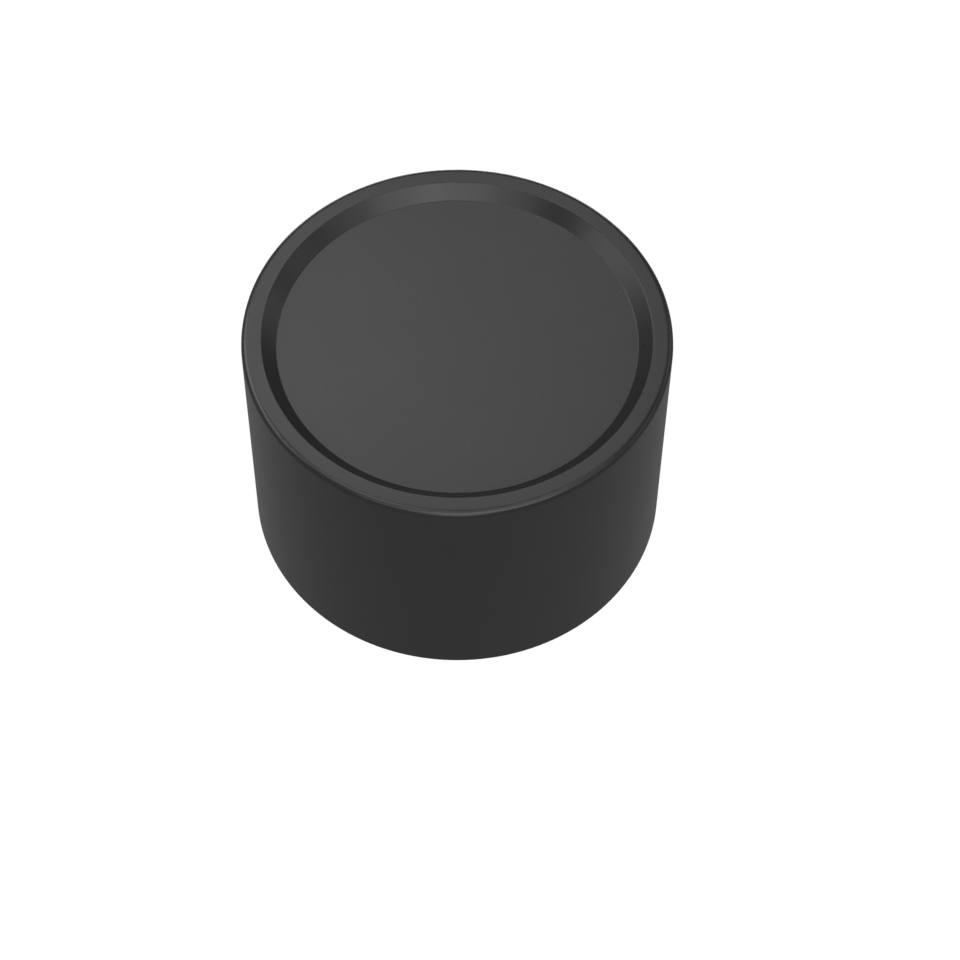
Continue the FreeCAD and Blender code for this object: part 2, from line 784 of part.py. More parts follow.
def power_button():
    """Round button with a stop flange, a seal groove and a pip that meets the switch."""
    groove_low = 42.2
    groove_high = groove_low + 1.0
    flange_y = button_shoulder_y - 0.05
    back_y = flange_y - button_flange_thickness
    groove_radius = button_bore_radius - button_ring_section - 0.02
    key = turned([
        (0.0, button_pip_y, 0.0),
        (button_pip_radius, button_pip_y, 0.3),
        (button_pip_radius, back_y, 0.3),
        (button_flange_radius, back_y, 0.0),
        (button_flange_radius, flange_y, 0.0),
        (button_radius, flange_y, 0.0),
        (button_radius, groove_low, 0.0),
        (groove_radius, groove_low, 0.0),
        (groove_radius, groove_high, 0.0),
        (button_radius, groove_high, 0.0),
        (button_radius, button_face_y, 0.4),
        (0.0, button_face_y, 0.0),
    ])
    return along_y(key, button_angle)


def along_y(shape, degrees):
    """Lays a piece drawn along Z onto the radial line of the bezel at an angle."""
    copy = shape.copy()
    copy.rotate(Vector(0, 0, 0), Vector(1, 0, 0), -90)
    copy.translate(Vector(0, 0, port_z))
    return at_angle(copy, degrees)


def button_seal_ring():
    """O-ring in the button's groove."""
    centre = button_bore_radius - button_ring_section / 2 - 0.01
    return along_y(ring_seal(centre, button_ring_section, 42.7), button_angle)


def button_retainer():
    """Ring that closes the button chamber and carries the spring."""
    ring = cylinder(button_chamber_radius, retainer_y, retainer_y + retainer_thickness)
    ring = ring.cut(cylinder(retainer_hole_radius, retainer_y, retainer_y + retainer_thickness))
    return along_y(ring, button_angle)


def button_spring():
    """Return spring between the retainer and the button's flange, as the sleeve its coil fills."""
    low = retainer_y + retainer_thickness + 0.02
    high = button_shoulder_y - 0.05 - button_flange_thickness - 0.02
    sleeve = cylinder(spring_radius + spring_wire_radius, low, high)
    hollow = cylinder(spring_radius - spring_wire_radius, low, high)
    return along_y(sleeve.cut(hollow), button_angle)


def antenna_standoffs():
    """Four six-sided spacers, each with a stud through the board into a post."""
    spacers = []
    for x, y in post_places:
        hexagon = Part.makePolygon([
            Vector(x + standoff_corner_radius * math.cos(math.radians(60 * k)),
                   y + standoff_corner_radius * math.sin(math.radians(60 * k)), board_top_z)
            for k in range(7)
        ])
        body = Part.Face(hexagon).extrude(Vector(0, 0, standoff_length))
        stud = cylinder(m25_radius, board_z - 5, board_top_z + 0.2, x, y)
        hole = cylinder(m25_tapped_radius, plane_z - 6, plane_z, x, y)
        spacers.append(joined([body, stud]).cut(hole))
    return group(spacers)


def ground_plane():
    """Antenna ground plane with screw and feed holes."""
    plane = cylinder(plane_radius, plane_z, plane_top_z)
    holes = [cylinder(m25_clear_radius, plane_z, plane_top_z, x, y) for x, y in post_places]
    holes += [cylinder(0.7, plane_z, plane_top_z, x, y) for x, y in feed_places]
    return plane.cut(holes)


feed_places = [(feed_offset, 0.0), (0.0, feed_offset)]
lower_patch_z = plane_top_z
upper_patch_z = lower_patch_z + patch_height + silver_thickness


def drilled_for_feeds(plate, low, high):
    """A patch layer with clearance for the two feed pins."""
    return plate.cut([cylinder(0.55, low, high, x, y) for x, y in feed_places])


def patch(side, low):
    """A square ceramic block of the antenna."""
    high = low + patch_height
    return drilled_for_feeds(plate_z(side / 2, side / 2, 1.0, low, high), low, high)


def patch_silver(side, low):
    """The silver face on a patch, its margin clear all round."""
    high = low + silver_thickness
    half = side / 2 - 3.0
    return drilled_for_feeds(plate_z(half, half, 0.5, low, high), low, high)


def feed_pins():
    """Two pins from the amplifier up through both patches."""
    low = plane_z - 1.0
    high = upper_patch_z + patch_height + silver_thickness
    pins = []
    for x, y in feed_places:
        pin = cylinder(0.5, low, high, x, y)
        head = Part.makeCone(1.0, 0.6, 0.4, Vector(x, y, high), UP)
        pins.append(joined([pin, head]))
    return group(pins)


def amplifier_shield():
    """Can under the ground plane over the antenna amplifier, open above for the feed pins."""
    can = shield_can(10.0, 10.0, 3.0, plane_z - 3.0, 0.0, 0.0)
    return can.cut([cylinder(1.2, plane_z - 1.6, plane_z, x, y) for x, y in feed_places])


coax_low_z = board_top_z + 1.4
coax_high_z = plane_z - 1.4
coax_start_y = -15.0
coax_end_y = -20.0


def rf_sockets():
    """Miniature coaxial sockets on the board and under the ground plane."""
    return group([
        cylinder(1.2, board_top_z, board_top_z + 0.6, coax_x, coax_end_y + 1.6),
        cylinder(1.2, plane_z - 0.6, plane_z, coax_x, coax_start_y + 1.6),
    ])


def rf_plugs():
    """Right-angle plugs on the coaxial jumper's two ends."""
    plugs = []
    ends = (
        (coax_end_y, board_top_z + 0.6, coax_low_z),
        (coax_start_y, plane_z - 0.6, coax_high_z),
    )
    for end_y, seat_z, cable_z in ends:
        low, high = sorted((seat_z, cable_z + math.copysign(0.7, cable_z - seat_z)))
        head = cylinder(1.5, low, high, coax_x, end_y + 1.6)
        barrel = Part.makeCylinder(0.75, 1.2, Vector(coax_x, end_y, cable_z), Vector(0, 1, 0))
        plugs.append(joined([head, barrel]))
    return group(plugs)


def antenna_cable():
    """Coaxial jumper from the amplifier down to the main board."""
    return swept_tube([
        Vector(coax_x, coax_start_y, coax_high_z),
        Vector(coax_x, coax_bend_y, coax_high_z),
        Vector(coax_x, coax_bend_y, coax_low_z),
        Vector(coax_x, coax_end_y, coax_low_z),
    ], coax_radius)


parts = {
    "housing_cap": housing_cap(),
    "base_plate": base_plate(),
    "base_seal_ring": base_seal_ring(),
    "base_screws": base_screws(),
    "rubber_feet": rubber_feet(),
    "vent_plug": vent_plug(),
    "vent_membrane": vent_membrane(),
    "pole_insert": pole_insert(),
    "insert_seal_ring": insert_seal_ring(),
    "insert_screws": small_screws(insert_screw_places, base_top_z + insert_flange_height, 5.0),
    "battery_tray": battery_tray(),
    "tray_screws": small_screws(tray_screw_places, base_top_z + 2.2, 5.0),
    "battery_cells": battery_cells(),
    "cell_strips": cell_strips(),
    "battery_lead_red": battery_lead(1),
    "battery_lead_black": battery_lead(-1),
    "battery_plug": battery_plug(),
    "battery_socket": battery_socket(),
    "main_board": main_board(),
    "positioning_module": shield_can(11.0, 8.5, 2.8, board_top_z, 0.0, 3.0),
    "radio_module": shield_can(8.0, 5.5, 2.2, board_top_z, -8.0, -27.0),
    "board_chips": board_chips(),
    "power_inductors": power_inductors(),
    "usb_socket_shell": usb_socket_shell(),
    "usb_socket_tongue": usb_socket_tongue(),
    "usb_socket_gasket": usb_socket_gasket(),
    "power_switch_body": power_switch_body(),
    "power_switch_plunger": power_switch_plunger(),
    "status_leds": status_leds(),
    "light_pipe": light_pipe(),
    "control_bezel": control_bezel(),
    "bezel_seal": bezel_seal(),
    "port_door": port_door(),
    "port_door_seal": port_door_seal(),
    "port_hinge_pin": port_hinge_pin(),
    "power_button": power_button(),
    "button_seal_ring": button_seal_ring(),
    "button_retainer": button_retainer(),
    "button_spring": button_spring(),
    "antenna_standoffs": antenna_standoffs(),
    "ground_plane": ground_plane(),
    "plane_screws": small_screws(post_places, plane_top_z, 5.0),
    "lower_patch": patch(lower_patch_side, lower_patch_z),
    "lower_patch_silver": patch_silver(lower_patch_side, lower_patch_z + patch_height),
    "upper_patch": patch(upper_patch_side, upper_patch_z),
    "upper_patch_silver": patch_silver(upper_patch_side, upper_patch_z + patch_height),
    "feed_pins": feed_pins(),
    "amplifier_shield": amplifier_shield(),
    "rf_sockets": rf_sockets(),
    "rf_plugs": rf_plugs(),
    "antenna_cable": antenna_cable(),
}

os.makedirs("parts", exist_ok=True)
for name, shape in parts.items():
    solids = len(shape.Solids)
    if not shape.isValid() or solids == 0:
        print("check this piece:", name, "valid", shape.isValid(), "solids", solids)
    shape.exportStep("parts/" + name + ".step")
print(len(parts), "pieces written")
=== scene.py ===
"""Looks of a round pocket GNSS receiver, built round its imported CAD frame.

Sizes are in millimetres in every class here and become metres only where a mesh, a light or a
camera is made. The frame is the CAD's: +Z up, feet at zero, the service bezel on +Y.
"""

import functools
import logging
import math
from collections.abc import Callable, Iterable, Sequence
from dataclasses import dataclass
from enum import Enum

import bmesh
import bpy
from mathutils import Euler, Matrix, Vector

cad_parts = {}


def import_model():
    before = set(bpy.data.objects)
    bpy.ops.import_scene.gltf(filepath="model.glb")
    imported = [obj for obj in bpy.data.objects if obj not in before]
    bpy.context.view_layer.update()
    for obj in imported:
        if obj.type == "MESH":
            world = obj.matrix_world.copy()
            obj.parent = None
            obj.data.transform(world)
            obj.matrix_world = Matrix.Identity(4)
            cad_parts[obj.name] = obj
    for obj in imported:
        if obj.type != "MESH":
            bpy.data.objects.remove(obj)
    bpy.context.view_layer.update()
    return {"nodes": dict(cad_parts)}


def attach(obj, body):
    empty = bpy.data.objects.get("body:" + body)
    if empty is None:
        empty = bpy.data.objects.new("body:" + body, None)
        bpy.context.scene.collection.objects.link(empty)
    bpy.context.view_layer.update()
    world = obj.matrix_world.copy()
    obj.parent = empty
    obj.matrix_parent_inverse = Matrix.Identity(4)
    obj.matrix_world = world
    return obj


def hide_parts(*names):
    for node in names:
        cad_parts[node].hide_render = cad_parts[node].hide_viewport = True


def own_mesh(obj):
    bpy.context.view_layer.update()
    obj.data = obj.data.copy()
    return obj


log = logging.getLogger("receiver")
MM = 0.001  # metres in a millimetre
SEAM = 0.0005  # points closer than this are one point, in mm
SLIVER = 0.001  # edges shorter than this are dissolved, in mm
OUTSIDE = 46.5  # clear of the wall, measured from the axis in mm
PLASTIC_IOR = 1.5

Corner = tuple[float, float, float]
Colour = tuple[float, float, float]


class Body(Enum):
    """The rigid bodies that new pieces ride on."""

    RECEIVER = "receiver"
    BUTTON = "power_button"
    DOOR = "port_door"


class Join(Enum):
    """How one solid meets another."""

    CUT = "DIFFERENCE"
    MERGE = "UNION"
    KEEP = "INTERSECT"


# ---------------------------------------------------------------- shader expressions


class Signal:
    """A number that varies over a surface. Arithmetic on it adds Math nodes."""

    def __init__(self, shader: "Shader", socket: bpy.types.NodeSocket) -> None:
        """Wraps an output socket of a shader's tree."""
        self.shader = shader
        self.socket = socket

    def __add__(self, other: "Signal | float") -> "Signal":
        """Sum."""
        return self.shader.math("ADD", self, other)

    def __radd__(self, other: float) -> "Signal":
        """Sum with a number on the left."""
        return self.shader.math("ADD", other, self)

    def __sub__(self, other: "Signal | float") -> "Signal":
        """Difference."""
        return self.shader.math("SUBTRACT", self, other)

    def __rsub__(self, other: float) -> "Signal":
        """Difference from a number on the left."""
        return self.shader.math("SUBTRACT", other, self)

    def __mul__(self, other: "Signal | float") -> "Signal":
        """Product."""
        return self.shader.math("MULTIPLY", self, other)

    def __rmul__(self, other: float) -> "Signal":
        """Product with a number on the left."""
        return self.shader.math("MULTIPLY", other, self)

    def __truediv__(self, other: "Signal | float") -> "Signal":
        """Quotient."""
        return self.shader.math("DIVIDE", self, other)

    def __abs__(self) -> "Signal":
        """Size without sign."""
        return self.shader.math("ABSOLUTE", self)

    def near(self, value: float, reach: float) -> "Signal":
        """A mask that is 1 at a value and falls to 0 a reach away on each side."""
        return self.shader.math("SUBTRACT", 1.0, abs(self - value) / reach, clamp=True)

    def beyond(self, start: float, full: float) -> "Signal":
        """A mask that rises from 0 at start to 1 at full."""
        return self.shader.math("MULTIPLY", self - start, 1.0 / (full - start), clamp=True)

    def wave(self) -> "Signal":
        """Sine."""
        return self.shader.math("SINE", self)


class Shader:
    """A node tree under construction, with one way to add any node."""

    def __init__(self, owner: bpy.types.Material | bpy.types.World | bpy.types.Light) -> None:
        """Takes over the owner's node tree and empties it.

        Args:
            owner: the material, world or light that is to be lit or shaded.
        """
        owner.use_nodes = True
        self.tree = owner.node_tree
        self.tree.nodes.clear()

    def node(
        self,
        kind: str,
        settings: dict[str, object] | None = None,
        inputs: dict[str | int, object] | None = None,
    ) -> bpy.types.Node:
        """Adds one node.

        Args:
            kind: the node's type.
            settings: attributes that are set first; "stops" holds a ramp's (place, grey) pairs.
            inputs: values, sockets or signals for its input sockets, by name or number.

        Returns:
            The new node.
        """
        made = self.tree.nodes.new(kind)
        for key, value in (settings or {}).items():
            if key == "stops":
                self._set_stops(made, value)
            else:
                setattr(made, key, value)
        for key, value in (inputs or {}).items():
            self.feed(made.inputs[key], value)
        return made

    def _set_stops(self, ramp: bpy.types.Node, stops: Sequence[tuple[float, float]]) -> None:
        """Places a ramp's stops, as greys."""
        elements = ramp.color_ramp.elements
        while len(elements) < len(stops):
            elements.new(0.5)
        for element, (place, grey) in zip(elements, stops):
            element.position = place
            element.color = (grey, grey, grey, 1.0)

    def feed(self, socket: bpy.types.NodeSocket, value: object) -> None:
        """Links a signal or socket into an input, or sets the input's own value."""
        if isinstance(value, Signal):
            value = value.socket
        if isinstance(value, bpy.types.NodeSocket):
            self.tree.links.new(value, socket)
        else:
            socket.default_value = value

    def math(
        self, operation: str, first: object, second: object = 0.0, clamp: bool = False
    ) -> Signal:
        """One Math node on signals or numbers."""
        settings = {"operation": operation, "use_clamp": clamp}
        made = self.node("ShaderNodeMath", settings, {0: first, 1: second})
        return Signal(self, made.outputs[0])

    def place(self, stretch: Corner = (1.0, 1.0, 1.0)) -> bpy.types.NodeSocket:
        """Object coordinates, stretched per axis."""
        source = self.node("ShaderNodeTexCoord").outputs["Object"]
        if stretch == (1.0, 1.0, 1.0):
            return source
        return self.node("ShaderNodeMapping", None, {"Vector": source, "Scale": stretch}).outputs[0]

    def axes(self) -> tuple[Signal, Signal, Signal]:
        """The three object coordinates as signals, in millimetres."""
        split = self.node("ShaderNodeSeparateXYZ", None, {"Vector": self.place()})
        x, y, z = (Signal(self, socket) * (1 / MM) for socket in split.outputs)
        return x, y, z

    def noise(
        self, size: float, detail: float = 2.0, stretch: Corner = (1.0, 1.0, 1.0)
    ) -> Signal:
        """Smooth noise with features of a size in millimetres."""
        inputs = {"Vector": self.place(stretch), "Scale": 1 / (size * MM), "Detail": detail}
        return Signal(self, self.node("ShaderNodeTexNoise", None, inputs).outputs[0])

    def cells(self, size: float) -> Signal:
        """Distance to the nearest of scattered points, for grains a size apart in millimetres."""
        inputs = {"Vector": self.place(), "Scale": 1 / (size * MM)}
        return Signal(self, self.node("ShaderNodeTexVoronoi", None, inputs).outputs["Distance"])

    def blend(self, amount: object, first: object, second: object) -> bpy.types.NodeSocket:
        """Mixes two colours by a signal."""
        inputs = {0: amount, 6: rgba(first), 7: rgba(second)}
        settings = {"data_type": "RGBA", "clamp_factor": True}
        return self.node("ShaderNodeMix", settings, inputs).outputs[2]

    def bump(self, height: Signal, depth: float, strength: float = 1.0) -> bpy.types.NodeSocket:
        """A normal from a height of 0 to 1 over a depth in millimetres."""
        inputs = {"Height": height, "Distance": depth * MM, "Strength": strength}
        return self.node("ShaderNodeBump", None, inputs).outputs[0]

    def by_ray(self, kind: str, dim: float, bright: float) -> None:
        """Closes a tree with a glow that is dim to the receiver and bright to the camera."""
        glows = [
            self.node(kind, None, {"Color": (1.0, 1.0, 1.0, 1.0), "Strength": strength}).outputs[0]
            for strength in (dim, bright)
        ]
        camera_ray = self.node("ShaderNodeLightPath").outputs["Is Camera Ray"]
        mixed = self.node("ShaderNodeMixShader", None, {0: camera_ray, 1: glows[0], 2: glows[1]})
        is_world = kind == "ShaderNodeBackground"
        end = "ShaderNodeOutputWorld" if is_world else "ShaderNodeOutputMaterial"
        self.node(end, None, {"Surface": mixed.outputs[0]})

    def surface(self, uniform: dict[str, object], varying: dict[str, object]) -> None:
        """Closes a material with a Principled shader.

        Args:
            uniform: values that are the same all over, by socket name.
            varying: signals, colours and normals that change over the surface.
        """
        shader = self.node("ShaderNodeBsdfPrincipled", None, {**uniform, **varying})
        self.node("ShaderNodeOutputMaterial", None, {"Surface": shader.outputs[0]})


def rgba(value: object) -> object:
    """A three-part colour with full opacity, anything else as it is."""
    if isinstance(value, tuple) and len(value) == 3:
        return (*value, 1.0)
    return value


# ---------------------------------------------------------------- finishes


@dataclass(frozen=True)
class Finish:
    """What every finish has: a name, a colour, its roughness and its own shading."""

    name: str
    colour: Colour
    roughness: float

    def shade(self, shader: Shader) -> None:
        """Builds the finish's nodes."""
        raise NotImplementedError


@functools.cache
def material(finish: Finish) -> bpy.types.Material:
    """The one material of a finish."""
    made = bpy.data.materials.new(finish.name)
    finish.shade(Shader(made))
    return made


def shifted(colour: Colour, factor: float) -> Colour:
    """A colour made lighter or darker by a factor."""
    red, green, blue = (min(1.0, part * factor) for part in colour)
    return (red, green, blue)


@dataclass(frozen=True)
class MouldedPlastic(Finish):
    """Injection moulding with a spark-eroded grain and faint handling marks."""

    grain: float = 0.35
    grain_depth: float = 0.004
    mottle: float = 0.12
    patch: float = 14.0
    rub: float = 5.0

    def shade(self, shader: Shader) -> None:
        """Grain in the bump, slow mottling in the colour, rubbed patches in the roughness."""
        grain = shader.noise(self.grain, 3.0)
        tone = shader.noise(self.patch, 3.0) * 0.7 + grain * 0.3
        rubbed = shader.noise(self.rub, 4.0)
        rough = (rubbed - 0.5) * 0.08 + (grain - 0.5) * 0.06 + self.roughness
        self.close(shader, grain, tone, rough)

    def close(self, shader: Shader, grain: Signal, tone: Signal, rough: Signal) -> None:
        """Ends the nodes, with the tone between the darkest and lightest mottling."""
        dark = shifted(self.colour, 1.0 - self.mottle)
        light = shifted(self.colour, 1.0 + self.mottle)
        shader.surface(
            {"IOR": PLASTIC_IOR},
            {
                "Base Color": shader.blend(tone, dark, light),
                "Roughness": rough,
                "Normal": shader.bump(grain, self.grain_depth),
            },
        )


@dataclass(frozen=True)
class HousingPlastic(MouldedPlastic):
    """The cap's moulding, its edges rubbed a little smoother and painted lighter: partly wear,
    partly a painted highlight.
    """

    patch: float = 18.0
    rub: float = 6.0
    # Radius and height of each edge that gets a painted highlight line and rubbed wear.
    outer_edge: tuple[float, float] = (44.2, 57.8)
    dish_edges: tuple[tuple[float, float], ...] = ((40.3, 58.1), (37.45, 55.25))

    def shade(self, shader: Shader) -> None:
        """The moulded grain, with lighter, smoother bands along the rim's and dish's edges: partly
        rubbed wear, partly painted highlight lines.
        """
        x, y, z = shader.axes()
        radius = shader.math("SQRT", x * x + y * y)
        grain = shader.noise(self.grain, 3.0)
        rubbed = shader.noise(self.rub, 1.0)
        # Mask along the edges, the concave dish edge included: partly rubbed wear, partly a painted
        # highlight line.
        wear_and_highlight = radius.near(self.outer_edge[0], 1.0) * z.near(self.outer_edge[1], 1.2)
        for edge_radius, edge_z in self.dish_edges:
            wear_and_highlight = wear_and_highlight + radius.near(edge_radius, 0.35) * z.near(edge_z, 0.35)
        wear_and_highlight = wear_and_highlight * rubbed.beyond(0.35, 0.7)
        # The edge mask lightens the colour: a painted edge highlight, partly rubbed wear.
        tone = shader.noise(self.patch, 1.0) * 0.8 + grain * 0.2 + wear_and_highlight * 0.5
        rough = (rubbed - 0.5) * 0.03 + (grain - 0.5) * 0.01 - wear_and_highlight * 0.05 + self.roughness
        self.close(shader, grain, tone, rough)


@dataclass(frozen=True)
class Rubber(Finish):
    """Moulded rubber or silicone: dull, with dust in its pores."""

    dust: float = 0.25

    def shade(self, shader: Shader) -> None:
        """Fine pores, and dust that greys the surface in patches."""
        pores = shader.noise(0.12, 3.0)
        dusty = shader.noise(3.0, 4.0).beyond(0.45, 0.75)
        dust_colour = tuple(part + (0.35 - part) * self.dust for part in self.colour)
        shader.surface(
            {"IOR": 1.45, "Sheen Weight": 0.05, "Sheen Roughness": 0.4},
            {
                "Base Color": shader.blend(dusty * 0.6 + pores * 0.2, self.colour, dust_colour),
                "Roughness": (pores - 0.5) * 0.1 + dusty * 0.08 + self.roughness,
                "Normal": shader.bump(pores, 0.006),
            },
        )


class Lay(Enum):
    """Which way a metal's tool marks run."""

    ROUND_Z = "turned about the upright axis"
    ALONG_X = "drawn along X"
    NONE = "tumbled"


@dataclass(frozen=True)
class Metal(Finish):
    """Bare or plated metal with tool marks."""

    lay: Lay = Lay.NONE
    tarnish: Colour = (0.3, 0.28, 0.25)

    def shade(self, shader: Shader) -> None:
        """Tool marks in roughness and bump, a slow tarnish in the colour."""
        if self.lay is Lay.ROUND_Z:
            marks = shader.noise(0.08, 2.0, (0.02, 0.02, 1.0))
        elif self.lay is Lay.ALONG_X:
            marks = shader.noise(0.1, 2.0, (0.03, 1.0, 1.0))
        else:
            marks = shader.noise(0.1, 3.0)
        stain = shader.noise(2.2, 4.0)
        colour = shader.blend(stain.beyond(0.5, 0.85) * 0.5, self.colour, self.tarnish)
        shader.surface(
            {"Metallic": 1.0},
            {
                "Base Color": colour,
                "Roughness": (marks - 0.5) * 0.18 + (stain - 0.5) * 0.1 + self.roughness,
                "Normal": shader.bump(marks, 0.002, 0.6),
            },
        )


@dataclass(frozen=True)
class CircuitBoard(Finish):
    """Solder mask over copper, with tracks and the weave of the laminate showing through."""

    mask_light: Colour = (0.03, 0.24, 0.1)
    track_rates: tuple[float, float] = (5.7, 4.3)
    weave_rate: float = 12.0

    def shade(self, shader: Shader) -> None:
        """Tracks on a 1.1 mm net, weave in the bump."""
        x, y, _ = shader.axes()
        wander = shader.noise(4.0, 1.0) * 3.0
        along, across = self.track_rates
        tracks = ((x + wander) * along).wave() * ((y - wander) * across).wave()
        copper = tracks.beyond(0.15, 0.3)
        weave = ((x * self.weave_rate).wave() * (y * self.weave_rate).wave()) * 0.5 + 0.5
        shader.surface(
            {"IOR": PLASTIC_IOR, "Coat Roughness": 0.1},
            {
                "Base Color": shader.blend(copper, self.colour, self.mask_light),
                "Roughness": weave * 0.08 + self.roughness,
                "Normal": shader.bump(weave * 0.3 + copper * 0.7, 0.02),
            },
        )


@dataclass(frozen=True)
class CellSleeve(Finish):
    """A round cell: shrink sleeve on its side, plated steel where the sleeve ends."""

    sleeve_end: float = 24.35
    steel: Colour = (0.62, 0.62, 0.6)

    def shade(self, shader: Shader) -> None:
        """Sleeve and steel parted by the distance along the cell."""
        x, _, _ = shader.axes()
        bare = abs(x).beyond(self.sleeve_end, self.sleeve_end + 0.05)
        wrinkle = shader.noise(1.2, 3.0, (0.25, 1.0, 1.0))
        tone = shader.blend(wrinkle, shifted(self.colour, 0.8), shifted(self.colour, 1.2))
        shader.surface(
            {"IOR": PLASTIC_IOR},
            {
                "Base Color": shader.blend(bare, tone, self.steel),
                "Metallic": bare,
                "Roughness": (wrinkle - 0.5) * 0.15 + self.roughness,
                "Normal": shader.bump(wrinkle, 0.02),
            },
        )


@dataclass(frozen=True)
class FiredCeramic(Finish):
    """Dense antenna ceramic, faintly speckled."""

    speck: Colour = (0.5, 0.42, 0.3)

    def shade(self, shader: Shader) -> None:
        """Specks in the colour and a chalky, slightly pitted face."""
        pits = shader.cells(0.25)
        cloud = shader.noise(3.0, 4.0)
        specks = 1.0 - pits.beyond(0.05, 0.22)
        shader.surface(
            {"IOR": 1.6},
            {
                "Base Color": shader.blend(specks * 0.4 + cloud * 0.2, self.colour, self.speck),
                "Roughness": (cloud - 0.5) * 0.15 + self.roughness,
                "Normal": shader.bump(pits, 0.01, 0.5),
            },
        )


@dataclass(frozen=True)
class ClearPlastic(Finish):
    """Polished clear moulding with a frosted bloom."""

    def shade(self, shader: Shader) -> None:
        """Clear body, its roughness uneven from the polish."""
        bloom = shader.noise(0.6, 3.0)
        shader.surface(
            {"IOR": 1.58, "Transmission Weight": 0.85},
            {
                "Base Color": shader.blend(bloom, self.colour, shifted(self.colour, 0.9)),
                "Roughness": bloom * 0.2 + self.roughness,
                "Normal": shader.bump(bloom, 0.004),
            },
        )


@dataclass(frozen=True)
class WovenMembrane(Finish):
    """Microporous sheet with a fine backing weave."""

    weave_rate: float = 21.0

    def shade(self, shader: Shader) -> None:
        """Two crossed waves make the weave."""
        x, y, _ = shader.axes()
        weave = ((x * self.weave_rate).wave() * (y * self.weave_rate).wave()) * 0.5 + 0.5
        shader.surface(
            {"Sheen Weight": 0.2},
            {
                "Base Color": shader.blend(weave, shifted(self.colour, 0.8), self.colour),
                "Roughness": weave * 0.1 + self.roughness,
                "Normal": shader.bump(weave, 0.03),
            },
        )


@dataclass(frozen=True)
class ContactTongue(MouldedPlastic):
    """The socket's moulded tongue, with a row of gold contacts on both faces."""

    angle: float = 18.5
    front_y: float = 39.6
    contact_pitch: float = 0.5
    row_half: float = 3.05
    row_back: float = 4.6
    row_front: float = 0.35
    gold: Colour = (0.85, 0.62, 0.26)

    def shade(self, shader: Shader) -> None:
        """Contacts as stripes across the tongue, on its upper and lower faces only."""
        x, y, _ = shader.axes()
        turn = math.radians(self.angle)
        across = x * math.cos(turn) + y * math.sin(turn)
        along = y * math.cos(turn) - x * math.sin(turn)
        stripes = (across * (math.tau / self.contact_pitch)).wave().beyond(-0.1, 0.1)
        back, front = self.front_y - self.row_back, self.front_y - self.row_front
        row = abs(across).beyond(self.row_half, self.row_half - 0.05)
        row = row * along.beyond(back, back + 0.1) * along.beyond(front, front - 0.05)
        grain = shader.noise(self.grain, 3.0)
        contact = stripes * row
        shader.surface(
            {"IOR": PLASTIC_IOR},
            {
                "Base Color": shader.blend(contact, self.colour, self.gold),
                "Metallic": contact,
                "Roughness": self.roughness + (grain - 0.5) * 0.1 - contact * 0.25,
                "Normal": shader.bump(grain, self.grain_depth),
            },
        )


HOUSING = HousingPlastic("moulded_black_housing", (0.030, 0.030, 0.0305), 0.28, 0.4, 0.0003, 0.07)
BEZEL = MouldedPlastic("satin_black_bezel", (0.018, 0.018, 0.019), 0.34, 0.2, 0.002)
BASE = MouldedPlastic("glass_filled_black_base", (0.034, 0.034, 0.035), 0.5, 0.45, 0.008)
TRAY = MouldedPlastic("dark_grey_tray", (0.07, 0.07, 0.075), 0.5)
PACKAGE = MouldedPlastic("moulded_chip_package", (0.02, 0.02, 0.021), 0.55, 0.1, 0.003)
CONTACTS = ContactTongue("contact_tongue", (0.02, 0.02, 0.021), 0.5, 0.1, 0.003)
NYLON = MouldedPlastic("natural_nylon", (0.72, 0.7, 0.62), 0.45, 0.3, 0.003, 0.05)
LAMP = MouldedPlastic("lamp_resin", (0.8, 0.78, 0.62), 0.25, 0.2, 0.001, 0.04)
FERRITE = MouldedPlastic("sintered_ferrite", (0.1, 0.1, 0.105), 0.6, 0.15, 0.01, 0.3)
LEGEND = MouldedPlastic("pad_printed_white", (0.62, 0.62, 0.6), 0.5, 0.1, 0.002, 0.06)
BLACK_RUBBER = Rubber("black_rubber", (0.016, 0.016, 0.016), 0.72)
GREY_SILICONE = Rubber("grey_silicone", (0.11, 0.11, 0.115), 0.6, 0.15)
ORANGE_SILICONE = Rubber("orange_silicone", (0.55, 0.14, 0.03), 0.5, 0.1)
RED_WIRE = Rubber("red_wire_cover", (0.42, 0.015, 0.012), 0.4, 0.05)
BLACK_WIRE = Rubber("black_wire_cover", (0.015, 0.015, 0.015), 0.4, 0.05)
BRASS = Metal("turned_brass", (0.76, 0.52, 0.2), 0.3, Lay.ROUND_Z, (0.42, 0.26, 0.1))
GOLD = Metal("gold_flash", (0.85, 0.62, 0.26), 0.25)
STAINLESS = Metal("passivated_stainless", (0.55, 0.54, 0.52), 0.32, Lay.ROUND_Z)
TIN = Metal("drawn_tin_shield", (0.62, 0.62, 0.6), 0.35, Lay.ALONG_X)
NICKEL = Metal("bright_nickel", (0.66, 0.63, 0.56), 0.28, Lay.ALONG_X)
SILVER = Metal("fired_silver", (0.76, 0.74, 0.7), 0.45)
BOARD = CircuitBoard("green_circuit_board", (0.012, 0.12, 0.05), 0.3)
SLEEVE = CellSleeve("blue_cell_sleeve", (0.02, 0.12, 0.3), 0.3)
CERAMIC = FiredCeramic("antenna_ceramic", (0.7, 0.62, 0.46), 0.55)
CLEAR = ClearPlastic("clear_light_pipe", (0.85, 0.88, 0.9), 0.12)
MEMBRANE = WovenMembrane("vent_membrane", (0.8, 0.8, 0.79), 0.8)

